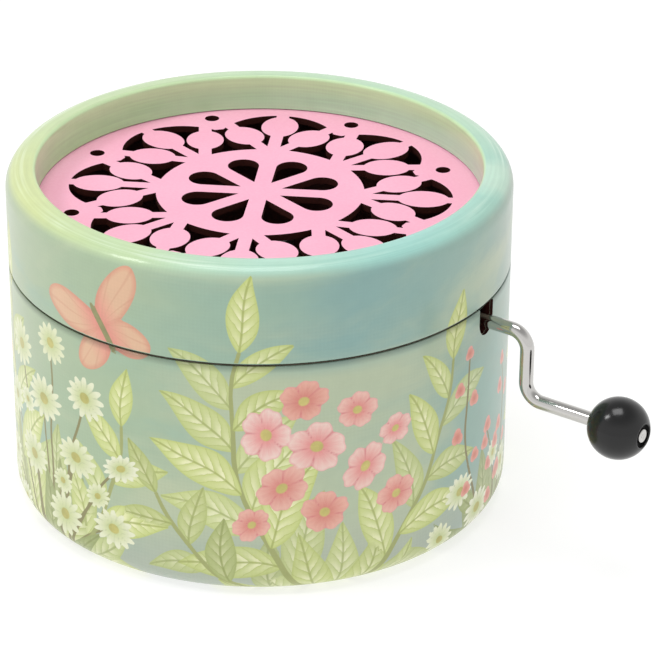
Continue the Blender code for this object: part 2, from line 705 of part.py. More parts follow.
def screw(name, x, y, head_seat, shank_end):
    """A slotted screw along Z, its head on a plane and its shank's end above or below that."""
    facing = 1.0 if shank_end < head_seat else -1.0
    head_top = head_seat + facing * SCREW_HEAD_HEIGHT
    middle = (head_seat + head_top) / 2
    made = rod(name, SCREW_HEAD_RADIUS, (x, y, head_seat), (x, y, head_top), STEEL, 20)
    shank = rod(name + "_shank", SCREW_SHANK_RADIUS, (x, y, shank_end), (x, y, middle), None, 12, cutters)
    join(made, shank)
    slot_floor = head_top - facing * SCREW_SLOT_DEPTH
    slot_mouth = head_top + facing * CUT_MARGIN
    slot = box(
        name + "_slot",
        (x - SCREW_HEAD_RADIUS - CUT_MARGIN, y - SCREW_SLOT_WIDTH / 2, min(slot_floor, slot_mouth)),
        (x + SCREW_HEAD_RADIUS + CUT_MARGIN, y + SCREW_SLOT_WIDTH / 2, max(slot_floor, slot_mouth)),
        None, cutters,
    )
    cut(made, slot)
    return place(made, case)


for n, (x, y) in enumerate(MOUNTING_POINTS, start=1):
    screw(f"mounting_screw_{n}", x, y, BOARD_UNDERSIDE - GLUE_GAP, BED_UNDERSIDE + MOUNTING_SCREW_GRIP)


# Comb: eighteen steel teeth cut in one plate, longer for the low notes, on a thicker heel

def comb_outline():
    """The plate with its slots, from the back edge round the teeth."""
    low_y = COMB_CENTRE_Y - COMB_WIDTH / 2
    points = [(COMB_BACK_X, low_y + COMB_WIDTH), (COMB_BACK_X, low_y)]
    for i in range(NOTES):
        near = low_y + i * NOTE_PITCH + TOOTH_GAP / 2
        far = low_y + (i + 1) * NOTE_PITCH - TOOTH_GAP / 2
        slot_root = COMB_SEAT_X + HEEL_EDGE + SLOT_SLANT * i / (NOTES - 1)
        if i == 0:
            near = low_y
        if i == NOTES - 1:
            far = low_y + COMB_WIDTH
        if i > 0:
            points.append((slot_root, near))
        points += [(COMB_TIP_X, near), (COMB_TIP_X, far)]
        if i < NOTES - 1:
            points.append((slot_root, far))
    return points


comb = outline_plate("comb", [comb_outline()], COMB_TOP - COMB_THICKNESS, COMB_TOP, STEEL)
heel = box(
    "comb_heel",
    (COMB_BACK_X, COMB_CENTRE_Y - COMB_WIDTH / 2, COMB_UNDERSIDE),
    (COMB_SEAT_X, COMB_CENTRE_Y + COMB_WIDTH / 2, COMB_TOP - COMB_THICKNESS / 2),
    None, cutters,
)
join(comb, heel)
for n, y in enumerate(COMB_SCREW_YS):
    cut(comb, screw_hole(f"comb_hole_{n}", COMB_SCREW_X, y, COMB_UNDERSIDE, COMB_TOP))
place(comb, case)
for n, y in enumerate(COMB_SCREW_YS, start=1):
    screw(f"comb_screw_{n}", COMB_SCREW_X, y, COMB_TOP + GLUE_GAP, SEAT_TOP - COMB_SCREW_GRIP)


# Cylinder: brass barrel with its pins, a cap in each end, the arbor and the wheel

def pinned_barrel():
    """The barrel along local Z, with four pins to each note, spread round it by a fixed rule."""
    barrel = ring(
        "cylinder_barrel", CYLINDER_RADIUS, CYLINDER_RADIUS - CYLINDER_WALL,
        -BARREL_LENGTH / 2, BARREL_LENGTH / 2, BRASS, 40,
    )
    mesh = bpy.data.meshes.new("pins")
    shape = bmesh.new()
    depth = PIN_HEIGHT + CYLINDER_WALL / 2
    middle_radius = CYLINDER_RADIUS + PIN_HEIGHT - depth / 2
    for i in range(NOTES):
        height = (i - (NOTES - 1) / 2) * NOTE_PITCH
        for j in range(PINS_PER_TRACK):
            wander = PIN_WANDER * math.sin(3.0 * i + j)
            share = i * GOLDEN_SHARE + (j + wander) / PINS_PER_TRACK
            turn = Matrix.Rotation(math.tau * share, 4, "Z")
            lay = Matrix.Translation((middle_radius, 0.0, height)) @ Matrix.Rotation(math.pi / 2, 4, "Y")
            bmesh.ops.create_cone(
                shape, cap_ends=True, segments=4, radius1=PIN_RADIUS, radius2=PIN_TIP_RADIUS,
                depth=depth, matrix=turn @ lay,
            )
    shape.to_mesh(mesh)
    shape.free()
    pins = new_object("pins", mesh, None, cutters)
    pins.parent = barrel
    join(barrel, pins)
    return barrel


cylinder_barrel = pinned_barrel()
place(cylinder_barrel, drum, CYLINDER_X, COMB_CENTRE_Y, CYLINDER_HEIGHT, ALONG_Y)

for end, sign in (("far", -1), ("near", 1)):
    faces = sorted((sign * BARREL_LENGTH / 2, sign * (BARREL_LENGTH / 2 - CAP_THICKNESS)))
    cap = ring(
        "cylinder_cap_" + end, CYLINDER_RADIUS - CYLINDER_WALL - GLUE_GAP, ARBOR_RADIUS + SOCKET_CLEARANCE,
        faces[0], faces[1], WHITE_PLASTIC, 32,
    )
    place(cap, drum, CYLINDER_X, COMB_CENTRE_Y, CYLINDER_HEIGHT, ALONG_Y)

arbor_ends = (BED_NEAR_Y - ARBOR_PROUD, BED_FAR_Y + ARBOR_PROUD)
cylinder_arbor = rod("cylinder_arbor", ARBOR_RADIUS, (0, arbor_ends[0], 0), (0, arbor_ends[1], 0), STEEL)
place(cylinder_arbor, drum, CYLINDER_X, 0.0, CYLINDER_HEIGHT)


def tooth_half_widths(depth):
    """Half widths of a straight-flanked tooth at its tip and at a depth below the pitch line."""
    slope = math.tan(FLANK_ANGLE)
    return TOOTH_THICKNESS / 2 - TOOTH_ADDENDUM * slope, TOOTH_THICKNESS / 2 + depth * slope


def gear_outline():
    """Straight-flanked teeth, with a gap and not a tooth at the top, where the worm's thread sits."""
    tip_half, root_half = tooth_half_widths(TOOTH_DEDENDUM)
    root_radius = GEAR_PITCH_RADIUS - TOOTH_DEDENDUM
    corners = ((root_radius, -root_half), (GEAR_TIP_RADIUS, -tip_half))
    corners += ((GEAR_TIP_RADIUS, tip_half), (root_radius, root_half))
    points = []
    for i in range(GEAR_TEETH):
        middle = math.pi / 2 + math.tau * (i + 0.5) / GEAR_TEETH
        for radius, offset in corners:
            a = middle + offset / radius
            points.append((radius * math.cos(a), radius * math.sin(a)))
    return points


def wheel():
    """The helical wheel, its teeth leaning with the worm's thread, with a hub bored for the arbor."""
    bore = circle((0.0, 0.0), ARBOR_RADIUS + SOCKET_CLEARANCE, 24)
    half = GEAR_WIDTH / 2
    made = outline_plate("cylinder_gear", [gear_outline(), bore], -half, half, WHITE_PLASTIC)
    lead_slope = AXIAL_PITCH / (math.tau * WORM_PITCH_RADIUS)
    for vertex in made.data.vertices:
        flat = Vector((vertex.co.x, vertex.co.y))
        if flat.length > GEAR_PITCH_RADIUS / 2:
            lean = vertex.co.z * lead_slope / GEAR_PITCH_RADIUS
            c, s = math.cos(lean), math.sin(lean)
            vertex.co.x, vertex.co.y = flat.x * c - flat.y * s, flat.x * s + flat.y * c
    return made


cylinder_gear = wheel()
# the outline's X stays X, its Y goes to +Z, so local Z points along -Y
place(cylinder_gear, drum, CYLINDER_X, SHAFT_OFFSET_Y, CYLINDER_HEIGHT, (math.pi / 2, 0.0, 0.0))


# Worm shaft: turned steps with a one-start right-hand thread, and a socket for the crank wire

def worm_thread():
    """A trapezoid section screwed round local Z, its ends filled. Half way along it faces the wheel."""
    foot_depth = TOOTH_DEDENDUM + THREAD_ROOT_SINK
    tip_half, foot_half = tooth_half_widths(foot_depth)
    tip_radius = WORM_PITCH_RADIUS + TOOTH_ADDENDUM
    foot_radius = WORM_PITCH_RADIUS - foot_depth
    start = CYLINDER_X - AXIAL_PITCH * (WORM_TURNS // 2)
    section = [
        (tip_radius, start + tip_half), (tip_radius, start - tip_half),
        (foot_radius, start - foot_half), (foot_radius, start + foot_half),
    ]
    made = turned("thread_path", section, None, WORM_STEPS * WORM_TURNS, cutters)
    made.modifiers["turn"].angle = math.tau * WORM_TURNS
    made.modifiers["turn"].screw_offset = AXIAL_PITCH * WORM_TURNS
    made.modifiers["turn"].use_merge_vertices = False
    bpy.context.view_layer.update()
    mesh = bpy.data.meshes.new_from_object(made.evaluated_get(bpy.context.evaluated_depsgraph_get()))
    bpy.data.objects.remove(made)
    shape = bmesh.new()
    shape.from_mesh(mesh)
    bmesh.ops.holes_fill(shape, edges=shape.edges, sides=len(section))
    bmesh.ops.recalc_face_normals(shape, faces=shape.faces)
    # Half a step along the helix sets the thread's corners off from those of the shaft
    half_step = math.pi / WORM_STEPS
    lift = Matrix.Translation((0.0, 0.0, AXIAL_PITCH * half_step / math.tau))
    shape.transform(lift @ Matrix.Rotation(half_step, 4, "Z"))
    shape.to_mesh(mesh)
    shape.free()
    return new_object("thread", mesh, None, cutters)


inner_shoulder = INNER_POST_X + POST_THICKNESS / 2 + END_PLAY
outer_shoulder = OUTER_POST_X - POST_THICKNESS / 2 - END_PLAY
shaft_start = INNER_POST_X - POST_THICKNESS / 2 - JOURNAL_PROUD
collar_start = outer_shoulder - SHAFT_COLLAR_WIDTH
clip_start = OUTER_POST_X + POST_THICKNESS / 2 + END_PLAY
clip_end = clip_start + CLIP_THICKNESS
groove_start = clip_start - GLUE_GAP
groove_end = clip_end + GLUE_GAP
socket_floor = SHAFT_END_X - SOCKET_DEPTH
socket_radius = WIRE_RADIUS + SOCKET_CLEARANCE

# Radius and distance along the shaft, from the socket at its outer end to its inner end
worm_shaft = turned(
    "worm_shaft",
    [
        (0.0, socket_floor), (socket_radius, socket_floor), (socket_radius, SHAFT_END_X),
        (OUTER_JOURNAL_RADIUS, SHAFT_END_X), (OUTER_JOURNAL_RADIUS, groove_end),
        (GROOVE_RADIUS, groove_end), (GROOVE_RADIUS, groove_start),
        (OUTER_JOURNAL_RADIUS, groove_start), (OUTER_JOURNAL_RADIUS, outer_shoulder),
        (SHAFT_COLLAR_RADIUS, outer_shoulder), (SHAFT_COLLAR_RADIUS, collar_start),
        (WORM_ROOT_RADIUS, collar_start), (WORM_ROOT_RADIUS, inner_shoulder),
        (INNER_JOURNAL_RADIUS, inner_shoulder), (INNER_JOURNAL_RADIUS, shaft_start), (0.0, shaft_start),
    ],
    BRASS, SHAFT_STEPS, closed=False,
)
thread = worm_thread()
thread.parent = worm_shaft
join(worm_shaft, thread)
place(worm_shaft, crank, 0.0, SHAFT_OFFSET_Y, SHAFT_HEIGHT, ALONG_X)

clip_bore = GROOVE_RADIUS + SOCKET_CLEARANCE
retaining_clip = ring("retaining_clip", CLIP_RADIUS, clip_bore, clip_start, clip_end, STEEL, 24)
clip_mouth = box(
    "clip_mouth",
    (0.0, -CLIP_MOUTH_HALF_WIDTH, clip_start - CUT_MARGIN),
    (CLIP_RADIUS + CUT_MARGIN, CLIP_MOUTH_HALF_WIDTH, clip_end + CUT_MARGIN),
    None, cutters,
)
clip_mouth.parent = retaining_clip
cut(retaining_clip, clip_mouth)
place(retaining_clip, crank, 0.0, SHAFT_OFFSET_Y, SHAFT_HEIGHT, ALONG_X)


# Crank wire, bent twice, and the ball knob that turns on its end

def wire_path():
    """Out along the shaft, down the throw and out again through the knob, as (x, height from the shaft)."""
    bend = WIRE_BEND_RADIUS
    points = [(socket_floor + END_PLAY, 0.0)]
    points += arc((WIRE_BEND_X - bend, -bend), bend, 90, 0, 6)
    points += arc((WIRE_BEND_X + bend, -WIRE_THROW + bend), bend, 180, 270, 6)
    points.append((KNOB_CENTRE_X + KNOB_RADIUS - WIRE_END_INSET, -WIRE_THROW))
    return points


curve = bpy.data.curves.new("crank_wire", "CURVE")
curve.dimensions = "3D"
curve.bevel_depth = WIRE_RADIUS
curve.bevel_resolution = 4
curve.use_fill_caps = True
path = wire_path()
spline = curve.splines.new("POLY")
spline.points.add(len(path) - 1)
for point, (x, z) in zip(spline.points, path):
    point.co = (x, 0.0, z, 1.0)
crank_wire_curve = bpy.data.objects.new("crank_wire_curve", curve)
model.objects.link(crank_wire_curve)
crank_wire = mesh_from(crank_wire_curve, "crank_wire", CHROME)
place(crank_wire, crank, 0.0, SHAFT_OFFSET_Y, SHAFT_HEIGHT)


def knob_profile(points=9):
    """Half a ball about local Z with its bore, flattened by the recess at the outer end."""
    bore = WIRE_RADIUS + KNOB_BORE_CLEARANCE
    top = math.degrees(math.acos(KNOB_RECESS_RADIUS / KNOB_RADIUS))
    bottom = -math.degrees(math.acos(KNOB_FOOT_RADIUS / KNOB_RADIUS))
    outer = arc((0.0, 0.0), KNOB_RADIUS, top, bottom, points)
    floor = outer[0][1] - KNOB_RECESS_DEPTH
    return outer + [(bore, outer[-1][1]), (bore, floor), (KNOB_RECESS_RADIUS, floor)]


knob = turned("knob", knob_profile(), BLACK_PLASTIC, 28)
place(knob, handle, KNOB_CENTRE_X, SHAFT_OFFSET_Y, KNOB_HEIGHT, ALONG_X)


# Round pieces are shaded smooth, with their edges kept sharp

SHARP_ANGLE = math.radians(35)
bpy.context.view_layer.update()
for piece in model.objects:
    if piece.type == "MESH":
        piece.data.shade_smooth()
        piece.data.set_sharp_from_angle(angle=SHARP_ANGLE)
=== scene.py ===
# %% [markdown]
# # A round music box with a hand crank
# The imported model already holds every piece at its real size and in its real place. This script is
# about looks: it lays a finer, printed paper over the plain one, cuts the pink grille again with smooth
# edges, bends the crank from round wire, and gives each piece left from the model its own finish.
# We start from the imported model.

# %% Load the imported model
import json
import math

import bmesh
import bpy
import numpy as np
from mathutils import Matrix, Quaternion, Vector

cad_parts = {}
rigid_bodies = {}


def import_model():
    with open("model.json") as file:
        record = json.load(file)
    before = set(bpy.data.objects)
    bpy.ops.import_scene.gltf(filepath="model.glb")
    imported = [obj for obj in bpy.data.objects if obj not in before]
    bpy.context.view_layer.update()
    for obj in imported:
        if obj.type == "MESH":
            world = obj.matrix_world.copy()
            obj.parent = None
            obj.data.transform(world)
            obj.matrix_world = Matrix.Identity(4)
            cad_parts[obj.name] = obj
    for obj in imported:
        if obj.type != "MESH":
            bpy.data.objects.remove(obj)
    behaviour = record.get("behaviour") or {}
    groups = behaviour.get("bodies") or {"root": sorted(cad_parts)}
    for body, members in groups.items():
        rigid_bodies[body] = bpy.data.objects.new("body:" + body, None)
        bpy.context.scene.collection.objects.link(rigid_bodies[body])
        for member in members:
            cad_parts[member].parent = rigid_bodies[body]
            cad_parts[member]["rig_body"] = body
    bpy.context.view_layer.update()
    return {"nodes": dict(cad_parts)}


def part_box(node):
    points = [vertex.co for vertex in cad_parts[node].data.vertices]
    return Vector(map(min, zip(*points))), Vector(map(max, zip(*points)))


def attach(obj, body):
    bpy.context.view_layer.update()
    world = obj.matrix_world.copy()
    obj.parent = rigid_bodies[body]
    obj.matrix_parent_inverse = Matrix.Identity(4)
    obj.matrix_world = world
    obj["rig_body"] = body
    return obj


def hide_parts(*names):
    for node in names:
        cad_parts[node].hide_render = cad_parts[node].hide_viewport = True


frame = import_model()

print("packed nodes:", len(frame["nodes"]))

# %% [markdown]
# ## Working in millimetres
# The frame is in metres, but the box is small, so sizes here are written in millimetres and turned to
# metres where a mesh is made. `box_of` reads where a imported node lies, so that places come from the
# model itself and not from a second set of numbers. The print has its middle at one side of the drum,
# the front, and directions round the drum are counted from there.

# %% Units and places
MM = 0.001
FRONT = math.radians(-53.27)


def box_of(node):
    """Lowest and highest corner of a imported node, in millimetres."""
    low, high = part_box(node)
    return np.array(low) / MM, np.array(high) / MM


def level(angle):
    """The level direction at an angle round the drum: (cos a, sin a, 0)."""
    return Vector((math.cos(angle), math.sin(angle), 0.0))


CASE_RADIUS = box_of("base_wrap")[1][1]
CASE_HEIGHT = box_of("lid_wrap")[1][2]
SEAM_HEIGHT = box_of("base_wrap")[1][2]
LID_BOTTOM = box_of("lid_wrap")[0][2]
WELL_FOOT = box_of("lid_collar")[0][2]
print("drum", CASE_RADIUS, CASE_HEIGHT, "seam", SEAM_HEIGHT, LID_BOTTOM)

# %% [markdown]
# ## Colour and nodes
# Colours are picked as sRGB hex values, the way a printer or a paint chart gives them, but a shader
# works with linear light. One function turns the one into the other. Another adds a shader node with
# its settings and its links in one call, which keeps a long material readable. Paint goes on in coats,
# as a painter lays it: each coat has a mask that says how much of it covers, and a colour.

# %% Helpers for materials
SOFT = {"interpolation_type": "SMOOTHSTEP"}


def linear(code, alpha=1.0):
    """An sRGB hex colour as linear RGBA, by the sRGB curve: a straight foot, then a power of 2.4."""
    srgb = np.array([int(code[i:i + 2], 16) / 255 for i in (1, 3, 5)])
    light = np.where(srgb <= 0.04045, srgb / 12.92, ((srgb + 0.055) / 1.055) ** 2.4)
    return (*light.tolist(), alpha)


def plug(node, inputs):
    """Fills a node's inputs. Each is a plain value, a hex colour, or an output of another node to link."""
    for name, value in inputs.items():
        if isinstance(value, bpy.types.NodeSocket):
            node.id_data.links.new(value, node.inputs[name])
        else:
            node.inputs[name].default_value = linear(value) if isinstance(value, str) else value


def add(tree, kind, *inputs, out=None, **settings):
    """Adds a node, and returns its first output in use, or the one named. Inputs come in the node's own
    order (for Map Range: value, from, from, to, to), or by name in a dictionary."""
    made = tree.nodes.new("ShaderNode" + kind)
    for name, value in settings.items():
        setattr(made, name, value)
    for number, value in enumerate(inputs):
        plug(made, value if isinstance(value, dict) else {number: value})
    return made.outputs[out] if out else next(output for output in made.outputs if output.enabled)


def coats(tree, ground, *layers):
    """Lays coats of paint over a ground, in turn. Each is how much of it covers, and its colour."""
    for cover, colour in layers:
        ground = add(tree, "Mix", {0: cover, 6: ground, 7: colour}, data_type="RGBA")
    return ground


def new_material(name):
    """An empty material, with its tree and the Principled BSDF that stands in it."""
    made = bpy.data.materials.new(name)
    made.use_nodes = True
    return made, made.node_tree, made.node_tree.nodes["Principled BSDF"]


print("a mid grey in linear light:", linear("#808080"))

# %% [markdown]
# ## Meshes from grids
# A shape is worked out as a whole array of points: rows along a profile and columns round or along the
# piece. The faces of such a grid are always the same four neighbours, so numpy can number them at once.
# Rows or columns that meet again, as round a tube, are closed by repeating the first one. Points that
# fall together, such as at a pole, are merged, and the faces are then turned outwards.

# %% Helpers for meshes
SHARP_EDGE = math.radians(40)
MERGE_DISTANCE = 0.0002


def grid_faces(rows, columns, close_rows=False, close_columns=False):
    """The four corner numbers of every cell of a grid of points, kept in rows and columns."""
    numbers = np.arange(rows * columns).reshape(rows, columns)
    if close_rows:
        numbers = np.concatenate([numbers, numbers[:1]])
    if close_columns:
        numbers = np.concatenate([numbers, numbers[:, :1]], axis=1)
    return np.stack([numbers[:-1, :-1], numbers[:-1, 1:], numbers[1:, 1:], numbers[1:, :-1]], axis=-1)


def tidy_mesh(mesh):
    """Merges points that fall together and turns the faces outwards, smooth except at real edges."""
    shape = bmesh.new()
    shape.from_mesh(mesh)
    bmesh.ops.remove_doubles(shape, verts=shape.verts, dist=MERGE_DISTANCE * MM)
    bmesh.ops.recalc_face_normals(shape, faces=shape.faces)
    shape.to_mesh(mesh)
    shape.free()
    mesh.shade_smooth()
    mesh.set_sharp_from_angle(angle=SHARP_EDGE)


def make_mesh(name, points, faces, fields=None):
    """A mesh from points in millimetres and faces, with the points that no face uses left out. A field
    keeps a number or a vector for each point, where a material can read it."""
    used, renumbered = np.unique(faces, return_inverse=True)
    mesh = bpy.data.meshes.new(name)
    mesh.from_pydata((points[used] * MM).tolist(), [], renumbered.reshape(faces.shape).tolist())
    for field, values in (fields or {}).items():
        kind, key = ("FLOAT_VECTOR", "vector") if values.ndim == 2 else ("FLOAT", "value")
        kept = mesh.attributes.new(field, kind, "POINT")
        kept.data.foreach_set(key, values[used].astype(np.float32).ravel())
    tidy_mesh(mesh)
    return mesh


def put_in_scene(name, mesh, node):
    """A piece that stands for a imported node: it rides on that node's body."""
    piece = bpy.data.objects.new(name, mesh)
    bpy.context.scene.collection.objects.link(piece)
    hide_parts(node)
    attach(piece, frame["nodes"][node]["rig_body"])
    print(name, "faces:", len(mesh.polygons))


print("a grid of 3 by 4 points has faces:", grid_faces(3, 4).reshape(-1, 4).shape[0])

# %% [markdown]
# ## The papers of the casing
# The real casing is made of board tubes with a printed, laminated paper glued round them. The lid's
# paper runs up its side, over a rounded rim and down into the well. The base's paper runs from the seam
# down to a rounded foot, and has a notch for the crank. Both are closed profiles turned round the axis,
# so each is a grid: rows along the profile, columns round the drum. The rows are close together because
# the print is worked out at the points of this grid.

# %% Profiles of the two papers
PAPER = 0.35
ROW_STEP = 0.345
COARSE_STEP = 4.0
ARC_STEP = 0.35
WELL_RADIUS = 31.7
RIM_OUTER_ROUND = 2.8
RIM_INNER_ROUND = 0.5
FOOT_ROUND = 3.4
FOOT_END = -80.0
NOTCH_HALF_WIDTH = 2.1
NOTCH_SQUEEZE_START = 29.5
CREST_RADIUS = CASE_RADIUS - RIM_OUTER_ROUND
CUT_EDGE_ROUND = PAPER / 2
INSIDE = CASE_RADIUS - PAPER
wire_low, wire_high = box_of("crank_wire")
WIRE_RADIUS = (wire_high[1] - wire_low[1]) / 2
SHAFT_Y = (wire_high[1] + wire_low[1]) / 2
SHAFT_HEIGHT = wire_high[2] - WIRE_RADIUS


def straight(start, end, step):
    """Points from start up to, but without, end, about one step apart."""
    count = max(1, round(math.dist(start, end) / step))
    return np.linspace(start, end, count, endpoint=False)


def arc(centre, radius, start, end, step=ARC_STEP):
    """Points round a centre from one angle in degrees up to, but without, another."""
    count = max(3, round(abs(math.radians(end - start)) * radius / step))
    angles = np.radians(np.linspace(start, end, count, endpoint=False))
    return np.stack([centre[0] + radius * np.cos(angles), centre[1] + radius * np.sin(angles)], axis=1)


def lid_profile():
    """Up the well, over the inner edge, the flat crest and the outer rounding, down the side, round
    the cut edge and back inside."""
    inner = (WELL_RADIUS + RIM_INNER_ROUND, CASE_HEIGHT - RIM_INNER_ROUND)
    outer = (CREST_RADIUS, CASE_HEIGHT - RIM_OUTER_ROUND)
    cut = (CASE_RADIUS - CUT_EDGE_ROUND, LID_BOTTOM + CUT_EDGE_ROUND)
    under_crest = CASE_HEIGHT - PAPER
    behind_well = WELL_RADIUS + PAPER
    return np.concatenate([
        straight((WELL_RADIUS, WELL_FOOT), (WELL_RADIUS, inner[1]), ROW_STEP * 2),
        arc(inner, RIM_INNER_ROUND, 180, 90, ARC_STEP / 2),
        straight((inner[0], CASE_HEIGHT), (CREST_RADIUS, CASE_HEIGHT), ROW_STEP),
        arc(outer, RIM_OUTER_ROUND, 90, 0),
        straight((CASE_RADIUS, outer[1]), (CASE_RADIUS, cut[1]), ROW_STEP),
        arc(cut, CUT_EDGE_ROUND, 0, -180, CUT_EDGE_ROUND / 2),
        straight((INSIDE, cut[1]), (INSIDE, outer[1]), COARSE_STEP),
        arc(outer, RIM_OUTER_ROUND - PAPER, 0, 90, ARC_STEP * 2),
        straight((CREST_RADIUS, under_crest), (inner[0], under_crest), COARSE_STEP),
        arc(inner, RIM_INNER_ROUND - PAPER, 90, 180, ARC_STEP / 2),
        straight((behind_well, inner[1]), (behind_well, WELL_FOOT), COARSE_STEP),
        [(behind_well, WELL_FOOT)],
    ])


def base_side(radius, step):
    """One face of the base's paper: the rounded foot and the wall up to where the notch's rows start."""
    centre = (CASE_RADIUS - FOOT_ROUND, FOOT_ROUND)
    return np.concatenate([
        arc(centre, radius - centre[0], FOOT_END, 0),
        straight((radius, centre[1]), (radius, NOTCH_SQUEEZE_START), step),
    ])


def base_profile():
    """Up the outer face, round the cut edge at the seam and down the inner face, closed on itself.
    Also says which rows stand at the notch's centre height, outside and inside."""
    cut = (CASE_RADIUS - CUT_EDGE_ROUND, SEAM_HEIGHT - CUT_EDGE_ROUND)
    wall = base_side(CASE_RADIUS, ROW_STEP)
    squeezed = straight((CASE_RADIUS, NOTCH_SQUEEZE_START), (CASE_RADIUS, SHAFT_HEIGHT), ROW_STEP)
    above = straight((CASE_RADIUS, SHAFT_HEIGHT), (CASE_RADIUS, cut[1]), ROW_STEP)
    edge = arc(cut, CUT_EDGE_ROUND, 0, 180, CUT_EDGE_ROUND / 2)
    mirrored = np.concatenate([squeezed, above])[::-1] - (PAPER, 0.0)
    inner = base_side(INSIDE, COARSE_STEP)[::-1]
    profile = np.concatenate([wall, squeezed, above, edge, [(INSIDE, cut[1])], mirrored, inner])
    outer_row = len(wall) + len(squeezed)
    inner_row = outer_row + len(above) + len(edge) + len(above)
    return profile, outer_row, inner_row


profile, outer_row, inner_row = base_profile()
lid_line = lid_profile()
print("base rows:", len(profile), "lid rows:", len(lid_line))

# %% [markdown]
# ## Columns round the drum, and the notch
# The notch's two sides fall exactly on grid columns, and the rows just below it are squeezed so that
# the top one follows its round end. Faces inside the notch are left out, and the paper's thickness is
# closed with a strip along the notch's end and one up each side. A cutter would do the same, but it
# would leave new points that know nothing of the print.

# %% Turn the profiles
NOTCH_COLUMNS = 12
COLUMNS = 640
HAIR = 1e-6


def column_angles():
    """Angles of the columns: a fan across the notch, thick near its sides, then even steps round."""
    share = np.pi * np.arange(NOTCH_COLUMNS + 1) / NOTCH_COLUMNS
    fan = np.arcsin((SHAFT_Y - NOTCH_HALF_WIDTH * np.cos(share)) / CASE_RADIUS)
    rest = np.linspace(fan[-1], fan[0] + math.tau, COLUMNS - NOTCH_COLUMNS + 1)
    return np.concatenate([fan, rest[1:-1]])


def turn(profile, angles):
    """A profile of radius and height carried round the axis: x = r cos a, y = r sin a, z = h."""
    radius, height = profile[:, :1], profile[:, 1:]
    return np.stack([radius * np.cos(angles), radius * np.sin(angles), height + 0 * angles], axis=-1)


angles = column_angles()
lid_points = turn(lid_line, angles).reshape(-1, 3)
lid_faces = grid_faces(len(lid_line), COLUMNS, close_rows=True, close_columns=True).reshape(-1, 4)

points = turn(profile, angles)
in_notch = np.arange(COLUMNS) <= NOTCH_COLUMNS
sideways = CASE_RADIUS * np.sin(angles[in_notch]) - SHAFT_Y
sideways = np.clip(sideways, -NOTCH_HALF_WIDTH, NOTCH_HALF_WIDTH)
notch_floor = SHAFT_HEIGHT - np.sqrt(NOTCH_HALF_WIDTH ** 2 - sideways ** 2)
squeezed = (profile[:, 1] > NOTCH_SQUEEZE_START) & (profile[:, 1] <= SHAFT_HEIGHT + HAIR)
share = (profile[squeezed, 1:] - NOTCH_SQUEEZE_START) / (SHAFT_HEIGHT - NOTCH_SQUEEZE_START)
lowered = NOTCH_SQUEEZE_START + share * (notch_floor - NOTCH_SQUEEZE_START)
points[np.ix_(squeezed, in_notch, [2])] = lowered[..., None]
print("points:", points[..., 0].size, len(lid_points))

# %% Leave out the notch and close its edges
faces = grid_faces(len(profile), COLUMNS, close_rows=True, close_columns=True)
keep = np.ones(faces.shape[:2], bool)
keep[outer_row:inner_row, :NOTCH_COLUMNS] = False
numbers = np.arange(len(profile) * COLUMNS).reshape(-1, COLUMNS)
notch_end = np.stack([
    numbers[outer_row, :NOTCH_COLUMNS], numbers[outer_row, 1:NOTCH_COLUMNS + 1],
    numbers[inner_row, 1:NOTCH_COLUMNS + 1], numbers[inner_row, :NOTCH_COLUMNS],
], axis=-1)
half_way = (inner_row - outer_row) // 2
outer_numbers = numbers[outer_row:outer_row + half_way + 1, [0, NOTCH_COLUMNS]]
inner_numbers = numbers[inner_row - half_way:inner_row + 1][::-1, [0, NOTCH_COLUMNS]]
notch_sides = np.stack([
    outer_numbers[:-1], outer_numbers[1:], inner_numbers[1:], inner_numbers[:-1],
], axis=-1).reshape(-1, 4)
base_points = points.reshape(-1, 3)
base_faces = np.concatenate([faces[keep], notch_end, notch_sides])
print("faces of the base's paper:", len(base_faces), "and of the lid's:", len(lid_faces))

# %% [markdown]
# ## The flat sheet
# The print is drawn flat, as on the real paper before it is glued round: millimetres round from the
# front, and height. Over a rounding the height goes on by arc length, so that nothing is squashed there.
# Rows that aren't printed lie far off the sheet. A slow wave shifts every point a little, which makes
# the outlines look drawn by hand.

# %% Where each point lies on the sheet
NO_PRINT = -100.0
HAND_WOBBLE = 0.22
SHEET_LENGTH = math.tau * CASE_RADIUS


def on_sheet(heights):
    """Millimetres round from the front, and the height that is given for each row or point."""
    around = CASE_RADIUS * (angles - FRONT)
    return np.stack(np.broadcast_arrays(around, heights), axis=-1).reshape(-1, 2)


def run_lengths(line):
    """Length of each step of a profile."""
    return np.linalg.norm(np.diff(line, axis=0), axis=1)


foot_length = math.radians(-FOOT_END) * FOOT_ROUND
unrolled = FOOT_ROUND - foot_length + np.concatenate([[0.0], np.cumsum(run_lengths(profile))])
base_heights = np.where(points[..., 2] > FOOT_ROUND, points[..., 2], unrolled[:, None])
base_heights[outer_row + half_way + 1:] = NO_PRINT

on_side = lid_line[:, 0] >= CASE_RADIUS - HAIR
side_end = np.argmin(np.where(on_side, lid_line[:, 1], CASE_HEIGHT * 2))
lid_heights = np.full((len(lid_line), 1), NO_PRINT)
below = np.cumsum(run_lengths(lid_line)[:side_end][::-1])[::-1]
lid_heights[:side_end + 1, 0] = LID_BOTTOM + CUT_EDGE_ROUND + np.concatenate([below, [0.0]])

sheet = np.concatenate([on_sheet(base_heights), on_sheet(lid_heights)])
wobble = HAND_WOBBLE * np.sin(sheet[:, 1] / 2.3 + sheet[:, 0] / 5.1)
sheet[:, 1] += HAND_WOBBLE * np.sin(sheet[:, 0] / 1.9 - sheet[:, 1] / 4.3)
sheet[:, 0] += wobble
print("sheet length:", round(SHEET_LENGTH, 1), "mm, points:", len(sheet))

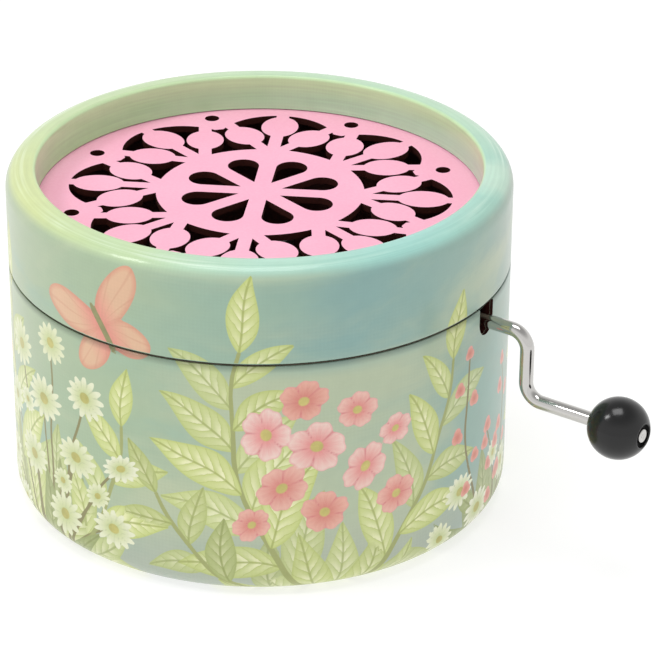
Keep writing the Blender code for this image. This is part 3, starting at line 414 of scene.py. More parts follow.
# %% [markdown]
# ## Drawing with distances
# The print is a meadow of simple garden shapes: leaves on bowed stems, five-petalled blossoms, daisies,
# berries and a butterfly. Each shape is a formula for the distance from any point of the sheet to the
# shape's outline, more than zero inside. Distances change evenly from point to point, so the material
# can find a crisp outline between grid points. Each shape also hands on its own coordinates, which
# the material uses for veins and petals.

# %% Layers of the print
LAYERS = ("leaf_back", "leaf_middle", "leaf_front", "stem", "blossom_back", "blossom_front", "daisy",
          "butterfly")
FAR_OUTSIDE = -40.0
LEAF_SLANT = 0.92
PETAL_DENT_WIDTH = 0.16
EYE_SHARE = 0.24
WINGS = (
    ((3.6, 5.0), (math.cos(math.radians(52)), math.sin(math.radians(52))), (6.1, 3.0)),
    ((-3.2, 3.6), (-0.55, 0.83), (4.4, 2.8)),
)
layers = {name: np.tile((FAR_OUTSIDE, 0.0, 0.0, 0.0), (len(sheet), 1)) for name in LAYERS}


def seen_from(place, heading):
    """The sheet in a shape's own frame: x along its heading in degrees, y to the left of that."""
    across = (sheet[:, 0] - place[0] + SHEET_LENGTH / 2) % SHEET_LENGTH - SHEET_LENGTH / 2
    up = sheet[:, 1] - place[1]
    c, s = math.cos(math.radians(heading)), math.sin(math.radians(heading))
    return across * c + up * s, up * c - across * s


def lay(name, edge, x, y, tone):
    """Where this shape reaches further in than what the layer holds, its values take over."""
    wins = edge > layers[name][:, 0]
    layers[name][wins] = np.stack(np.broadcast_arrays(edge, x, y, tone), axis=-1)[wins]


def leaf(name, foot, heading, length, width, bow, tone):
    """A leaf from its foot: half its width is w/2 sin(pi t^0.8) at a share t of its length, and its
    midrib is a parabola that bows to one side."""
    x, y = seen_from(foot, heading)
    t = np.clip(x / length, 0.0, 1.0)
    y = y - bow * 4 * t * (1 - t)
    half = width / 2 * np.sin(np.pi * t ** 0.8)
    beyond = np.clip(np.maximum(-x, x - length), 0.0, None)
    edge = np.where(beyond > 0, -np.hypot(beyond, y), (half - np.abs(y)) * LEAF_SLANT)
    lay(name, edge, x, y, tone)


def bowed_line(start, end, bow, pieces=14):
    """Points of a parabola between two ends, pushed out to its left by the bow."""
    start, end = np.array(start, float), np.array(end, float)
    t = np.linspace(0.0, 1.0, pieces + 1)[:, None]
    along = end - start
    left = np.array([-along[1], along[0]]) / np.linalg.norm(along)
    return start + along * t + left * bow * 4 * t * (1 - t)


def heading_of(start, end):
    """The direction from one point to another, in degrees."""
    return math.degrees(math.atan2(end[1] - start[1], end[0] - start[0]))


def stem(line, foot_width, tip_width, tone):
    """A thin line that tapers: half its width less the distance to the nearest of its pieces."""
    for i, (start, end) in enumerate(zip(line[:-1], line[1:])):
        x, y = seen_from(start, heading_of(start, end))
        distance = np.hypot(x - np.clip(x, 0.0, math.dist(start, end)), y)
        width = foot_width + (tip_width - foot_width) * i / len(line)
        lay("stem", width / 2 - distance, x, y, tone)


def ellipse_edge(x, y, half_x, half_y):
    """Distance in from an ellipse, by dividing its formula by its steepness."""
    height_of = np.hypot(x / half_x, y / half_y)
    steepness = np.hypot(x / half_x ** 2, y / half_y ** 2)
    return (1.0 - height_of) * height_of / np.maximum(steepness, 1e-3)


def flower(name, centre, radius, petals, reach, half_width, heading, tilt, tone, dent=0.0):
    """Petals round a centre. The angle is folded onto one petal, which is an ellipse, and dented at
    its end. What is handed on is the share of the radius, and 0 to 1 from a petal's middle to its side."""
    x, y = seen_from(centre, heading)
    y = y / tilt
    distance = np.hypot(x, y)
    slice_half = math.pi / petals
    off = (np.arctan2(y, x) + slice_half) % (2 * slice_half) - slice_half
    along, side = distance * np.cos(off), distance * np.sin(off)
    middle = radius * (1 - reach)
    dimple = dent * radius * np.exp(-(side / (PETAL_DENT_WIDTH * radius)) ** 2)
    edge = ellipse_edge(along + dimple * (along > middle) - middle, side, radius * reach, radius * half_width)
    edge = np.maximum(edge, radius * EYE_SHARE - distance) * min(1.0, tilt + 0.1)
    lay(name, edge, distance / radius, np.abs(off) / slice_half, tone)


def butterfly(centre, heading, size, tone):
    """Two pairs of oval wings, mirrored in the body's line, and the body itself as a long oval."""
    x, y = seen_from(centre, heading)
    x, y = x / size, np.abs(y) / size
    edge = ellipse_edge(x + 0.4, y, 4.6, 0.62)
    for (wing_x, wing_y), (c, s), halves in WINGS:
        u, v = (x - wing_x) * c + (y - wing_y) * s, (y - wing_y) * c - (x - wing_x) * s
        edge = np.maximum(edge, ellipse_edge(u, v, *halves))
    lay("butterfly", edge * size, x, y, tone)


print("layers:", ", ".join(LAYERS))

# %% [markdown]
# ## Laying out the meadow
# Three kinds of bunch are repeated round the drum: leafy sprays with pink blossoms, olive blades with
# daisies, and arching stems of berries. A fan of broad leaves fills the foot of each. They are placed
# one by one, because even spacing would look like wallpaper, and a seeded random generator varies sizes
# and tones, the same way each run. All places are millimetres on the sheet.

# %% Sprays, fans and flowers
rng = np.random.default_rng(11)
PALE, GREEN, OLIVE, BROWN = 1.0, 0.6, 0.1, 0.0


def leafy_spray(foot, tip, bow, leaves, length, tone):
    """Leaves in turn to the left and right of a bowed stem, shorter towards its tip, and one at its end."""
    line = bowed_line(foot, tip, bow)
    stem(line, 0.9, 0.5, GREEN)
    for k in range(leaves):
        at = 0.16 + 0.80 * k / leaves
        i = min(int(at * (len(line) - 1)), len(line) - 2)
        start, end = line[i], line[i + 1]
        foot_point = start + (end - start) * (at * (len(line) - 1) - i)
        side = 1 if k % 2 else -1
        size = length * (1.08 - 0.42 * at) * rng.uniform(0.92, 1.08)
        leaf(LAYERS[k % 3], foot_point, heading_of(start, end) + side * rng.uniform(44, 60), size,
             size * rng.uniform(0.36, 0.42), -side * size * 0.07,
             np.clip(tone + rng.uniform(-0.2, 0.2), 0.0, 1.0))
    leaf("leaf_front", line[-1], heading_of(*line[-2:]), length * 0.72, length * 0.29, 0.3, tone)


def leaf_fan(foot, headings, length, width_share, tone):
    """Broad leaves that spread from one foot, the outer ones bowed away from the middle."""
    middle = sum(headings) / len(headings)
    for k, heading in enumerate(headings):
        size = length * rng.uniform(0.88, 1.08)
        place = (foot[0] + rng.uniform(-0.8, 0.8), foot[1] + rng.uniform(-0.6, 0.6))
        leaf(LAYERS[k % 2], place, heading, size, size * width_share * rng.uniform(0.9, 1.1),
             (heading - middle) / 30, np.clip(tone + rng.uniform(-0.12, 0.12), 0.0, 1.0))


def blossom(name, place, radius, tilt):
    """A pink flower of five dented petals."""
    flower(name, place, radius, 5, 0.50, 0.43, rng.uniform(0, 72), tilt, rng.uniform(0.1, 1.0), dent=0.10)


def daisy(place, radius, tilt):
    """A cream flower of thirteen narrow petals."""
    flower("daisy", place, radius, 13, 0.42, 0.145, rng.uniform(0, 27), tilt, rng.uniform(0.2, 1.0))


print("first random number:", np.random.default_rng(11).uniform())

# %% Bunches round the drum


def blossom_bunch(s, side):
    """Three leafy sprays from one foot, with blossoms where they part."""
    leafy_spray((s, -4), (s - 13 * side, 38), 6 * side, 11, 16.0, PALE)
    leafy_spray((s, -4), (s + 20 * side, 31), -4 * side, 8, 14.5, PALE - 0.1)
    leafy_spray((s - 3 * side, -4), (s - 25 * side, 15), 3 * side, 6, 12.0, GREEN)
    leaf_fan((s, -5), (38, 62, 84, 108, 132, 152), 18.0, 0.33, PALE - 0.1)
    for dx, z, radius, name in (
        (-4, 30.5, 3.6, "blossom_back"), (-9.5, 25.5, 4.3, "blossom_front"), (-2.5, 23, 4.6, "blossom_front"),
        (3.5, 28, 3.2, "blossom_front"), (4.5, 19, 4.2, "blossom_back"), (-7, 17, 4.0, "blossom_front"),
        (-1, 13, 3.7, "blossom_front"), (9.5, 13.5, 3.4, "blossom_back"), (-11.5, 11.5, 3.1, "blossom_back"),
        (9.5, 23.5, 2.8, "blossom_back"),
    ):
        blossom(name, (s + dx * side, z), radius, rng.uniform(0.78, 0.95))


def daisy_bunch(s, side):
    """Blades and a fan of leaves, and daisies on thin stems that lean out of them."""
    leaf_fan((s - 2 * side, -5), (35, 58, 80, 100, 122, 147), 24.0, 0.30, PALE - 0.15)
    leafy_spray((s - 3 * side, -4), (s - 14 * side, 34), 3 * side, 8, 15.0, PALE)
    leafy_spray((s + 2 * side, -4), (s + 15 * side, 24), -3 * side, 6, 13.0, PALE)
    for k, heading in enumerate((62, 78, 93, 108, 124, 48, 136)):
        length = rng.uniform(17, 25) * (1.0 if 60 < heading < 125 else 0.62)
        leaf(LAYERS[k % 3], (s + (k - 3) * 0.7, -5), heading, length, length * 0.24,
             side * rng.uniform(-1.5, 1.5), OLIVE + rng.uniform(0.0, 0.2))
    for dx, z, radius in (
        (-8.5, 28, 4.0), (1.5, 32, 3.5), (-1, 22.5, 4.4), (8.5, 26, 3.8), (-12.5, 18, 3.6),
        (6.5, 16, 4.0), (-5, 12, 4.2), (14.5, 17, 3.0), (-14, 8, 3.4), (13, 7, 3.8), (3.5, 6, 3.7),
        (-6.5, 19.5, 2.6), (3, 11, 2.4), (-9, 3, 2.8), (10.5, 11.5, 2.5),
    ):
        head = (s + dx * side, z)
        stem(bowed_line((s + dx * 0.25 * side, -3), head, dx * side * 0.12, 8), 0.55, 0.4, OLIVE)
        daisy(head, radius, rng.uniform(0.72, 0.95))


def berry_bunch(s, side):
    """Arching stems with pairs of small round berries over a fan of olive leaves, and low daisies."""
    leaf_fan((s, -4), (30, 52, 74, 97, 120, 146), 17.5, 0.34, OLIVE + 0.05)
    for dx, z, bow in ((-7, 29, 3.5), (5, 23, -3.0), (-1, 15, -2.0)):
        line = bowed_line((s, -3), (s + dx * side, z), bow * side)
        stem(line, 0.6, 0.4, BROWN)
        for k, at in enumerate((5, 7, 9, 11, 12, 14)):
            x, y = line[at] + ((1.9 if k % 2 else -1.9) * (at < 14), 0.9)
            flower("blossom_front", (x, y), rng.uniform(1.15, 1.5), 3, 0.62, 0.6, 90, 1.0, 0.0)
        leaf("leaf_middle", line[3], 90 - dx * 6 * side, 9.5, 2.9, 0.6 * side, OLIVE + 0.15)
        leaf("leaf_back", line[2], 90 + dx * 7 * side, 8.0, 2.6, -0.6 * side, GREEN)
    for dx, z, radius in (
        (-9, 9, 3.3), (-4, 4, 3.6), (6, 6.5, 3.4), (-13, 3, 2.8), (1.5, 10.5, 2.6), (11, 2.5, 3.0),
    ):
        daisy((s + dx * side, z), radius, rng.uniform(0.75, 0.95))


for bunch, places in (
    (blossom_bunch, ((10, 1), (-84, -1), (104, 1))),
    (daisy_bunch, ((-35, 1), (72, -1))),
    (berry_bunch, ((41, 1), (-62, -1), (-111, 1))),
):
    for s, side in places:
        bunch(s, side)
for s, z, heading, size in ((-23, 38.5, 118, 0.88), (-103, 38, 75, 0.85), (80, 39.5, 110, 0.6)):
    butterfly((s, z), heading, size, rng.uniform(0.2, 0.9))
print("share of the sheet under leaves:", round(float((layers["leaf_back"][:, 0] > 0).mean()), 2))

# %% [markdown]
# ## The papers with their print
# Each layer's values are kept at the points of the two papers, under the names that the material reads.

# %% Put the papers in the scene


def print_fields(part):
    """The layers' values for one of the two papers: distance and two coordinates, and the tone."""
    fields = {name: layer[part, :3] for name, layer in layers.items()}
    return fields | {name + "_tone": layer[part, 3] for name, layer in layers.items()}


split = len(base_points)
base_mesh = make_mesh("printed_base_paper", base_points, base_faces, print_fields(slice(0, split)))
lid_mesh = make_mesh("printed_lid_paper", lid_points, lid_faces, print_fields(slice(split, None)))
put_in_scene("printed_base_paper", base_mesh, "base_wrap")
put_in_scene("printed_lid_paper", lid_mesh, "lid_wrap")

# %% [markdown]
# ## Printed, laminated paper
# On the real box this is coated paper with a watercolour print under a thin glossy film. The eye sees
# soft washes of sage, mint and teal, then the drawn shapes, then a smooth gloss with a faint ripple
# from the board. So the material has three parts: a ground of washes that changes round the drum,
# the layers one over another, and a clear coat over an almost even roughness.

# %% The washes of the side and the rim
SIDE_PAINTS = ((0.0, "#B4C4A4"), (0.2, "#ADC2A2"), (0.45, "#A0BDA8"), (0.68, "#8DB2AC"), (0.9, "#99B7AB"),
               (1.0, "#A4B8A8"))
RIM_PAINTS = ((0.0, "#D3DE9E"), (0.25, "#C5DDAD"), (0.5, "#B5DDCA"), (0.75, "#A4D8CD"), (1.0, "#A6D2C0"))
WASH_SHIFT = 9
CLOUD = 30 * MM
HAZE_WAY = math.radians(-42)
paper, tree, shader = new_material("laminated_printed_paper")
place = add(tree, "TexCoord", out="Object")
east, north, height = add(tree, "SeparateXYZ", place).node.outputs
across, away, hazy = (
    add(tree, "VectorMath", place, level(way), operation="DOT_PRODUCT")
    for way in (FRONT + math.pi / 2, FRONT + math.pi, HAZE_WAY)
)
brushed = add(tree, "VectorMath", place, (1.0, 1.0, 2.6), operation="MULTIPLY")
drift = add(tree, "TexNoise", brushed, {"Scale": 1 / CLOUD, "Detail": 3.0, "Distortion": 0.6})
shifted = add(tree, "Math", drift, 0.018, across, operation="MULTIPLY_ADD")
round_share = add(tree, "MapRange", shifted, (WASH_SHIFT - CASE_RADIUS) * MM, (WASH_SHIFT + CASE_RADIUS) * MM)
washes = []
for stops in (SIDE_PAINTS, RIM_PAINTS):
    wash = add(tree, "ValToRGB", round_share)
    ramp = wash.node.color_ramp
    ramp.interpolation = "EASE"
    for at, code in stops[1:-1]:
        ramp.elements.new(at)
    for element, (at, code) in zip(ramp.elements, stops):
        element.position, element.color = at, linear(code)
    washes.append(wash)
side_wash, rim_wash = washes
far_off = add(tree, "MapRange", away, -0.1 * CASE_RADIUS * MM, 0.5 * CASE_RADIUS * MM, 0.0, 0.85, **SOFT)
rim_wash = coats(tree, rim_wash, (far_off, coats(tree, "#C9DBA8", (round_share, "#BFDFC2"))))
flat = add(tree, "VectorMath", place, (1.0, 1.0, 0.0), operation="MULTIPLY")
from_axis = add(tree, "VectorMath", flat, operation="LENGTH")
in_well = add(tree, "MapRange", from_axis, (WELL_RADIUS + 0.45) * MM, (WELL_RADIUS + 0.05) * MM)
on_rim = add(tree, "MapRange", height, (CASE_HEIGHT - 1.8) * MM, (CASE_HEIGHT - 0.4) * MM, **SOFT)
on_rim = add(tree, "Math", on_rim, in_well, operation="MAXIMUM")
ground = coats(tree, side_wash, (on_rim, rim_wash))
print("paints of the side:", len(SIDE_PAINTS), "and of the rim:", len(RIM_PAINTS))

# %% [markdown]
# ### Clouds, haze and the well
# A wash is never even. Warm and cool clouds of paint drift over the side, a pale haze lies on one side
# of the base, and the foot is greyer. Down the well the paper is light green, darker lower down as
# painted shade of the well.

# %% Clouds over the washes
BIG_CLOUD = 38 * MM
clouds = add(tree, "TexNoise", brushed, {"Scale": 1 / BIG_CLOUD, "Detail": 5.0, "Roughness": 0.55,
                                         "Distortion": 0.5})
warm = add(tree, "MapRange", clouds, 0.49, 0.70, 0.0, 0.65, **SOFT)
cool = add(tree, "MapRange", clouds, 0.48, 0.30, 0.0, 0.55, **SOFT)
below_rim = add(tree, "Math", 1.0, on_rim, operation="SUBTRACT")
warm = add(tree, "Math", warm, below_rim, operation="MULTIPLY")
hazy = add(tree, "Math", clouds, 0.03, hazy, operation="MULTIPLY_ADD")
hazy = add(tree, "MapRange", hazy, 40 * MM, 51 * MM, 0.0, 0.85, **SOFT)
on_base = add(tree, "MapRange", height, 37 * MM, 33 * MM, **SOFT)
hazy = add(tree, "Math", hazy, on_base, operation="MULTIPLY")
at_foot = add(tree, "MapRange", height, 15 * MM, 0.0, 0.0, 0.8, **SOFT)
# painted shade: the well's paper darkens over the 4 mm below the crest
painted_well_shade = add(tree, "MapRange", height, (CASE_HEIGHT - 0.4) * MM, (CASE_HEIGHT - 4.0) * MM, **SOFT)
well_wash_and_shade = coats(tree, "#D2F2BC", (painted_well_shade, coats(tree, "#B7E3A6", (round_share, "#BFE8C8"))))
ground = coats(tree, ground, (warm, "#C3CDAC"), (cool, "#98BDB2"), (hazy, "#C2CCAB"), (at_foot, "#B2BBB0"),
               (in_well, well_wash_and_shade))
print("nodes so far:", len(tree.nodes))

# %% [markdown]
# ### The rim's lines, its painted highlight and the sheet's joint
# Stretched over the rim the print has fine lines along it, and a painted highlight, a paler band, lies
# where the rim turns down, broken into streaks by the lines. The lines come from a noise that is packed
# 0.4 mm close across the rim and stretched to 14 mm along it. A paler, ragged strip runs down the lid's
# side where the sheet's two ends meet.

# %% Painted rim highlight and joint
LINE_WIDTH = 0.4 * MM
LINE_LENGTH = 14 * MM
RIM_HIGHLIGHT_RADIUS = CASE_RADIUS - 1.9
JOINT_ANGLE = math.radians(27) + 0.08
JOINT_HALF_WIDTH = math.radians(11)
lines = add(tree, "Math", from_axis, height, operation="SUBTRACT")
lines = add(tree, "CombineXYZ", {"Z": lines})
lines = add(tree, "VectorMath", lines, {"Scale": 1 / LINE_WIDTH}, operation="SCALE")
stretch = (1 / LINE_LENGTH, 1 / LINE_LENGTH, 0.0)
lines = add(tree, "VectorMath", place, stretch, lines, operation="MULTIPLY_ADD")
lines = add(tree, "TexNoise", lines, {"Scale": 1.0, "Detail": 2.0})
turned_down = add(tree, "Math", from_axis, RIM_HIGHLIGHT_RADIUS * MM, operation="SUBTRACT")
turned_down = add(tree, "Math", turned_down, operation="ABSOLUTE")
# painted highlight: a pale band round the rim, within 0.95 mm of where it turns down
painted_rim_highlight = add(tree, "MapRange", turned_down, 0.95 * MM, 0.3 * MM, **SOFT)
broken = add(tree, "MapRange", lines, 0.42, 0.66, 0.0, 0.4)
in_places = add(tree, "MapRange", drift, 0.44, 0.56, 0.25)
for share in (broken, in_places, on_rim):
    painted_rim_highlight = add(tree, "Math", painted_rim_highlight, share, operation="MULTIPLY")
lined = add(tree, "Math", on_rim, 0.22, operation="MULTIPLY")
lines = add(tree, "Math", lines, 0.5, operation="SUBTRACT")
lined = add(tree, "Math", lines, lined, operation="MULTIPLY")

bearing = add(tree, "Math", north, east, operation="ARCTAN2")
ragged = add(tree, "TexNoise", place, {"Scale": 1 / (5 * MM), "Detail": 5.0})
ragged = add(tree, "Math", ragged, 0.16, bearing, operation="MULTIPLY_ADD")
off_joint = add(tree, "Math", ragged, JOINT_ANGLE, operation="SUBTRACT")
off_joint = add(tree, "Math", off_joint, operation="ABSOLUTE")
strip = add(tree, "MapRange", off_joint, JOINT_HALF_WIDTH, JOINT_HALF_WIDTH * 0.5, 0.0, 0.5)
on_lid = add(tree, "Math", height, LID_BOTTOM * MM, operation="GREATER_THAN")
outside = add(tree, "Math", 1.0, in_well, operation="SUBTRACT")
for share in (on_lid, outside):
    strip = add(tree, "Math", strip, share, operation="MULTIPLY")
# the pale #EEFAEC coat is the painted highlight on the rim
ground = coats(tree, ground, (painted_rim_highlight, "#EEFAEC"), (strip, coats(tree, "#ADBDAC", (on_rim, "#D3EBD3"))))
print("nodes so far:", len(tree.nodes))

# %% [markdown]
# ### The drawn shapes
# Each layer's distance is turned into a mask with a very narrow ramp, so the outline is as crisp as
# the render allows. Inside, the shape's own coordinates draw its detail: a leaf's veins slant forward
# from the midrib at an even spacing, and a petal darkens towards the flower's middle and its sides.

# %% The shapes over the ground
OUTLINE_SOFTNESS = 0.05
VEIN_SPACING = 1.7
PAINT_GRAIN = 2.2 * MM
LEAF_PAINTS = (("#9DA973", "#D2DC90"), ("#B8C088", "#F5F6C6"), ("#87925A", "#B3BD6B"), ("#8B955D", "#ABB565"),
               ("#8F9B60", "#B9C66E"))
grain = add(tree, "TexNoise", place, {"Scale": 1 / PAINT_GRAIN, "Detail": 4.0, "Roughness": 0.6})


def layer_values(name):
    """A layer's mask, its distance in from the outline, its two coordinates and its tone."""
    vector = add(tree, "Attribute", out="Vector", attribute_name=name)
    tone = add(tree, "Attribute", out="Fac", attribute_name=name + "_tone")
    edge, x, y = add(tree, "SeparateXYZ", vector).node.outputs
    mask = add(tree, "MapRange", edge, -OUTLINE_SOFTNESS, OUTLINE_SOFTNESS, **SOFT)
    return mask, edge, x, y, tone


def leaves_over(under, name, opacity):
    """Leaves: olive to pale by tone, lighter between the veins, with a midrib and a darker outline."""
    mask, edge, x, y, tone = layer_values(name)
    body, light, vein_paint, midrib_paint, hem_paint = (
        coats(tree, olive, (tone, pale)) for olive, pale in LEAF_PAINTS
    )
    off = add(tree, "Math", y, operation="ABSOLUTE")
    slant = add(tree, "Math", off, -1.15, x, operation="MULTIPLY_ADD")
    slant = add(tree, "Math", grain, 1.3, slant, operation="MULTIPLY_ADD")
    ribs = add(tree, "Math", slant, VEIN_SPACING, operation="DIVIDE")
    rib = add(tree, "Math", ribs, operation="FRACT")
    glow = add(tree, "MapRange", rib, 0.95, 0.1, 0.0, 0.9, **SOFT)
    inward = add(tree, "MapRange", edge, 0.25, 1.6)
    near_rib = add(tree, "MapRange", off, 3.2, 0.4, 0.7, 2.1)
    for share in (inward, grain, near_rib):
        glow = add(tree, "Math", glow, share, operation="MULTIPLY")
    vein = add(tree, "MapRange", rib, 0.86, 0.97, 0.0, 0.45)
    midrib = add(tree, "MapRange", off, 0.22, 0.08, 0.0, 0.8)
    hem = add(tree, "MapRange", edge, 0.38, 0.05, 0.0, 0.4)
    painted = coats(tree, body, (glow, light), (vein, vein_paint), (midrib, midrib_paint), (hem, hem_paint))
    return coats(tree, under, (add(tree, "Math", mask, opacity, operation="MULTIPLY"), painted))


def stems_over(under):
    """Stems: brown to green by tone."""
    mask, edge, x, y, tone = layer_values("stem")
    return coats(tree, under, (mask, coats(tree, "#8A8258", (tone, "#B9C67F"))))


def blossoms_over(under, name):
    """Blossoms: deep pink at the middle, pale at the petals' ends, with streaks, folds and an eye."""
    mask, edge, reach, side, tone = layer_values(name)
    deep, pale = (coats(tree, a, (tone, b)) for a, b in (("#D98676", "#F09C9A"), ("#EFAE98", "#FAE0D6")))
    streaks = add(tree, "CombineXYZ", reach, side)
    streaks = add(tree, "VectorMath", streaks, (1.5, 9.0, 1.0), operation="MULTIPLY")
    streaks = add(tree, "TexNoise", streaks, {"Scale": 1.4, "Detail": 2.0})
    outward = add(tree, "Math", streaks, 0.5, reach, operation="MULTIPLY_ADD")
    share = add(tree, "MapRange", outward, 0.45, 1.15)
    fold = add(tree, "MapRange", side, 0.80, 0.99, 0.0, 0.7, **SOFT)
    outline = add(tree, "MapRange", edge, 0.32, 0.05, 0.0, 0.5)
    eye = add(tree, "MapRange", reach, 0.235, 0.18)
    not_berry = add(tree, "Math", tone, 0.05, operation="GREATER_THAN")
    eye = add(tree, "Math", eye, not_berry, operation="MULTIPLY")
    painted = coats(tree, deep, (share, pale), (fold, "#D8767C"), (outline, "#E8989A"),
                    (eye, coats(tree, "#A9A355", (grain, "#EAD98A"))))
    return coats(tree, under, (mask, painted))


def daisies_over(under):
    """Daisies: cream at the petals' ends, green-yellow inwards, with grey-green between the petals."""
    mask, edge, reach, side, tone = layer_values("daisy")
    share = add(tree, "MapRange", reach, 0.25, 0.8)
    gap = add(tree, "MapRange", side, 0.6, 1.0, 0.0, 0.55)
    eye = add(tree, "MapRange", reach, 0.27, 0.22)
    painted = coats(tree, "#CFD99E", (share, coats(tree, "#E4E9BD", (tone, "#F4F5DE"))), (gap, "#B7C291"),
                    (eye, coats(tree, "#9C9A4C", (grain, "#DCD483"))))
    return coats(tree, under, (mask, painted))


def butterflies_over(under):
    """Butterflies: peach wings, coral near the body, with fine ribs, a darker hem and an olive body."""
    mask, edge, x, y, tone = layer_values("butterfly")
    ribs = add(tree, "Math", y, x, operation="ARCTAN2")
    ribs = add(tree, "Math", ribs, 21.0, operation="MULTIPLY")
    ribs = add(tree, "Math", ribs, operation="SINE")
    rib = add(tree, "MapRange", ribs, 0.80, 1.0, 0.0, 0.45)
    near = add(tree, "MapRange", y, 4.5, 0.5)
    hem = add(tree, "MapRange", edge, 0.9, 0.1, 0.0, 0.65)
    body = add(tree, "MapRange", y, 0.62, 0.5)
    along = add(tree, "Math", x, -0.4, operation="SUBTRACT")
    along = add(tree, "Math", along, operation="ABSOLUTE")
    inside = add(tree, "MapRange", along, 5.0, 4.5)
    body = add(tree, "Math", body, inside, operation="MULTIPLY")
    painted = coats(tree, "#EBBD9B", (near, "#EF9488"), (rib, "#DDA084"), (hem, "#DE8F79"),
                    (body, coats(tree, "#6F6C42", (grain, "#B5AE74"))))
    return coats(tree, under, (add(tree, "Math", mask, 0.92, operation="MULTIPLY"), painted))


colour = leaves_over(ground, "leaf_back", 0.82)
colour = leaves_over(colour, "leaf_middle", 0.93)
colour = stems_over(colour)
colour = leaves_over(colour, "leaf_front", 1.0)
colour = blossoms_over(colour, "blossom_back")
colour = daisies_over(colour)
colour = blossoms_over(colour, "blossom_front")
colour = butterflies_over(colour)
print("nodes so far:", len(tree.nodes))

# %% [markdown]
# ### Canvas, film and gloss
# Watercolour is printed with the tooth of its paper, drawn here as a weave of 0.55 mm, a little coarser
# than life so that it shows. The film over it is smooth, and only a slow ripple from the board moves
# its reflections. Under the lid's edge the paper is darkened by painted shade, the shadow of the lid's edge.

# %% Finish of the paper
THREAD = 0.55
RIPPLE = 6 * MM
SEAM_SHADE_DEPTH = 1.2
warp = add(tree, "Math", bearing, float(round(SHEET_LENGTH / THREAD)), operation="MULTIPLY")
weft = add(tree, "Math", height, math.tau / (THREAD * MM), operation="MULTIPLY")
warp, weft = (add(tree, "Math", threads, operation="SINE") for threads in (warp, weft))
tooth = add(tree, "Math", warp, weft, operation="ADD")
worn = add(tree, "MapRange", drift, 0.4, 0.6, 0.001, 0.009)
tooth = add(tree, "Math", tooth, worn, operation="MULTIPLY")
fleck = add(tree, "Math", grain, 0.10, -0.05, operation="MULTIPLY_ADD")
value = tooth
for part in (fleck, lined, 1.0):
    value = add(tree, "Math", value, part, operation="ADD")
# painted shade: the base darkens to 0.6 of its value just under the lid's edge
seam_shade = add(tree, "MapRange", height, (SEAM_HEIGHT - SEAM_SHADE_DEPTH) * MM, SEAM_HEIGHT * MM, 1.0, 0.60,
                 **SOFT)
seam_shade = add(tree, "Math", seam_shade, on_lid, operation="MAXIMUM")
value = add(tree, "Math", value, seam_shade, operation="MULTIPLY")
ripple = add(tree, "TexNoise", place, {"Scale": 1 / RIPPLE, "Detail": 2.0})
plug(shader, {
    "Base Color": add(tree, "HueSaturation", {"Value": value, "Color": colour}),
    "Roughness": add(tree, "MapRange", grain, 0.0, 1.0, 0.34, 0.44),
    "Normal": add(tree, "Bump", {"Strength": 0.06, "Distance": 0.3 * MM, "Height": ripple}),
    "IOR": 1.5, "Specular IOR Level": 0.25, "Coat Weight": 0.4, "Coat Roughness": 0.11,
})
for mesh in (base_mesh, lid_mesh):
    mesh.materials.append(paper)
print("nodes of the paper:", len(tree.nodes))

# %% [markdown]
# ### Shaded cut faces
# The cut faces of the notch and the grille are painted nearly black brown, as painted shade where they
# look into the dark inside, mottled at 0.3 mm, and dull. The faces that stand square to the sheet are the
# cut ones, so they can be picked out by the way that they face.

# %% Painted shade on the cut edges
CUT_MOTTLE = 0.3 * MM
cut_shade, tree, shader = new_material("painted_shade_cut_edge")
cut_mottle = add(tree, "TexNoise", add(tree, "TexCoord", out="Object"), {"Scale": 1 / CUT_MOTTLE, "Detail": 3.0})
plug(shader, {
    # painted shade: nearly black brown for the cut faces
    "Base Color": coats(tree, "#260C09", (cut_mottle, "#4A1D16")),
    "Roughness": add(tree, "MapRange", cut_mottle, 0.0, 1.0, 0.7, 0.95), "Specular IOR Level": 0.2,
})


def of_faces(mesh, quantity):
    """The centre or the normal of every face, as an array."""
    values = np.empty(len(mesh.polygons) * 3)
    mesh.polygons.foreach_get(quantity, values)
    return values.reshape(-1, 3)


def paint_cut_shade(mesh, cut):
    """Gives the chosen faces the painted shade of the cut edges, as the mesh's second material."""
    mesh.materials.append(cut_shade)
    mesh.polygons.foreach_set("material_index", cut.astype(np.int32))
    print(mesh.name, "scorched faces:", int(cut.sum()))


def notch_faces(mesh):
    """Faces in the notch that don't face out of the drum or into it."""
    (x, y, z), normals = of_faces(mesh, "center").T / MM, of_faces(mesh, "normal")
    outward = np.abs(x * normals[:, 0] + y * normals[:, 1]) / np.hypot(x, y)
    near = (x > 0) & (np.abs(y - SHAFT_Y) < NOTCH_HALF_WIDTH + 0.2)
    return near & (outward < 0.6) & (z > SHAFT_HEIGHT - NOTCH_HALF_WIDTH - 0.3) & (z < SEAM_HEIGHT - 0.2)


# the notch's cut faces get painted shade
paint_cut_shade(base_mesh, notch_faces(base_mesh))

# %% [markdown]
# ## The pink grille
# The real grille is a disc of pink card with its rosette cut out by laser: eight drop-shaped openings
# round a hub, and between a round medallion and the rim eight sprigs of three leaves each. The cuts are
# square to the card, so the disc is a flat outline with thickness, and the openings are taken out of it
# with Booleans. The openings themselves are a ring from which the leaves have been taken.

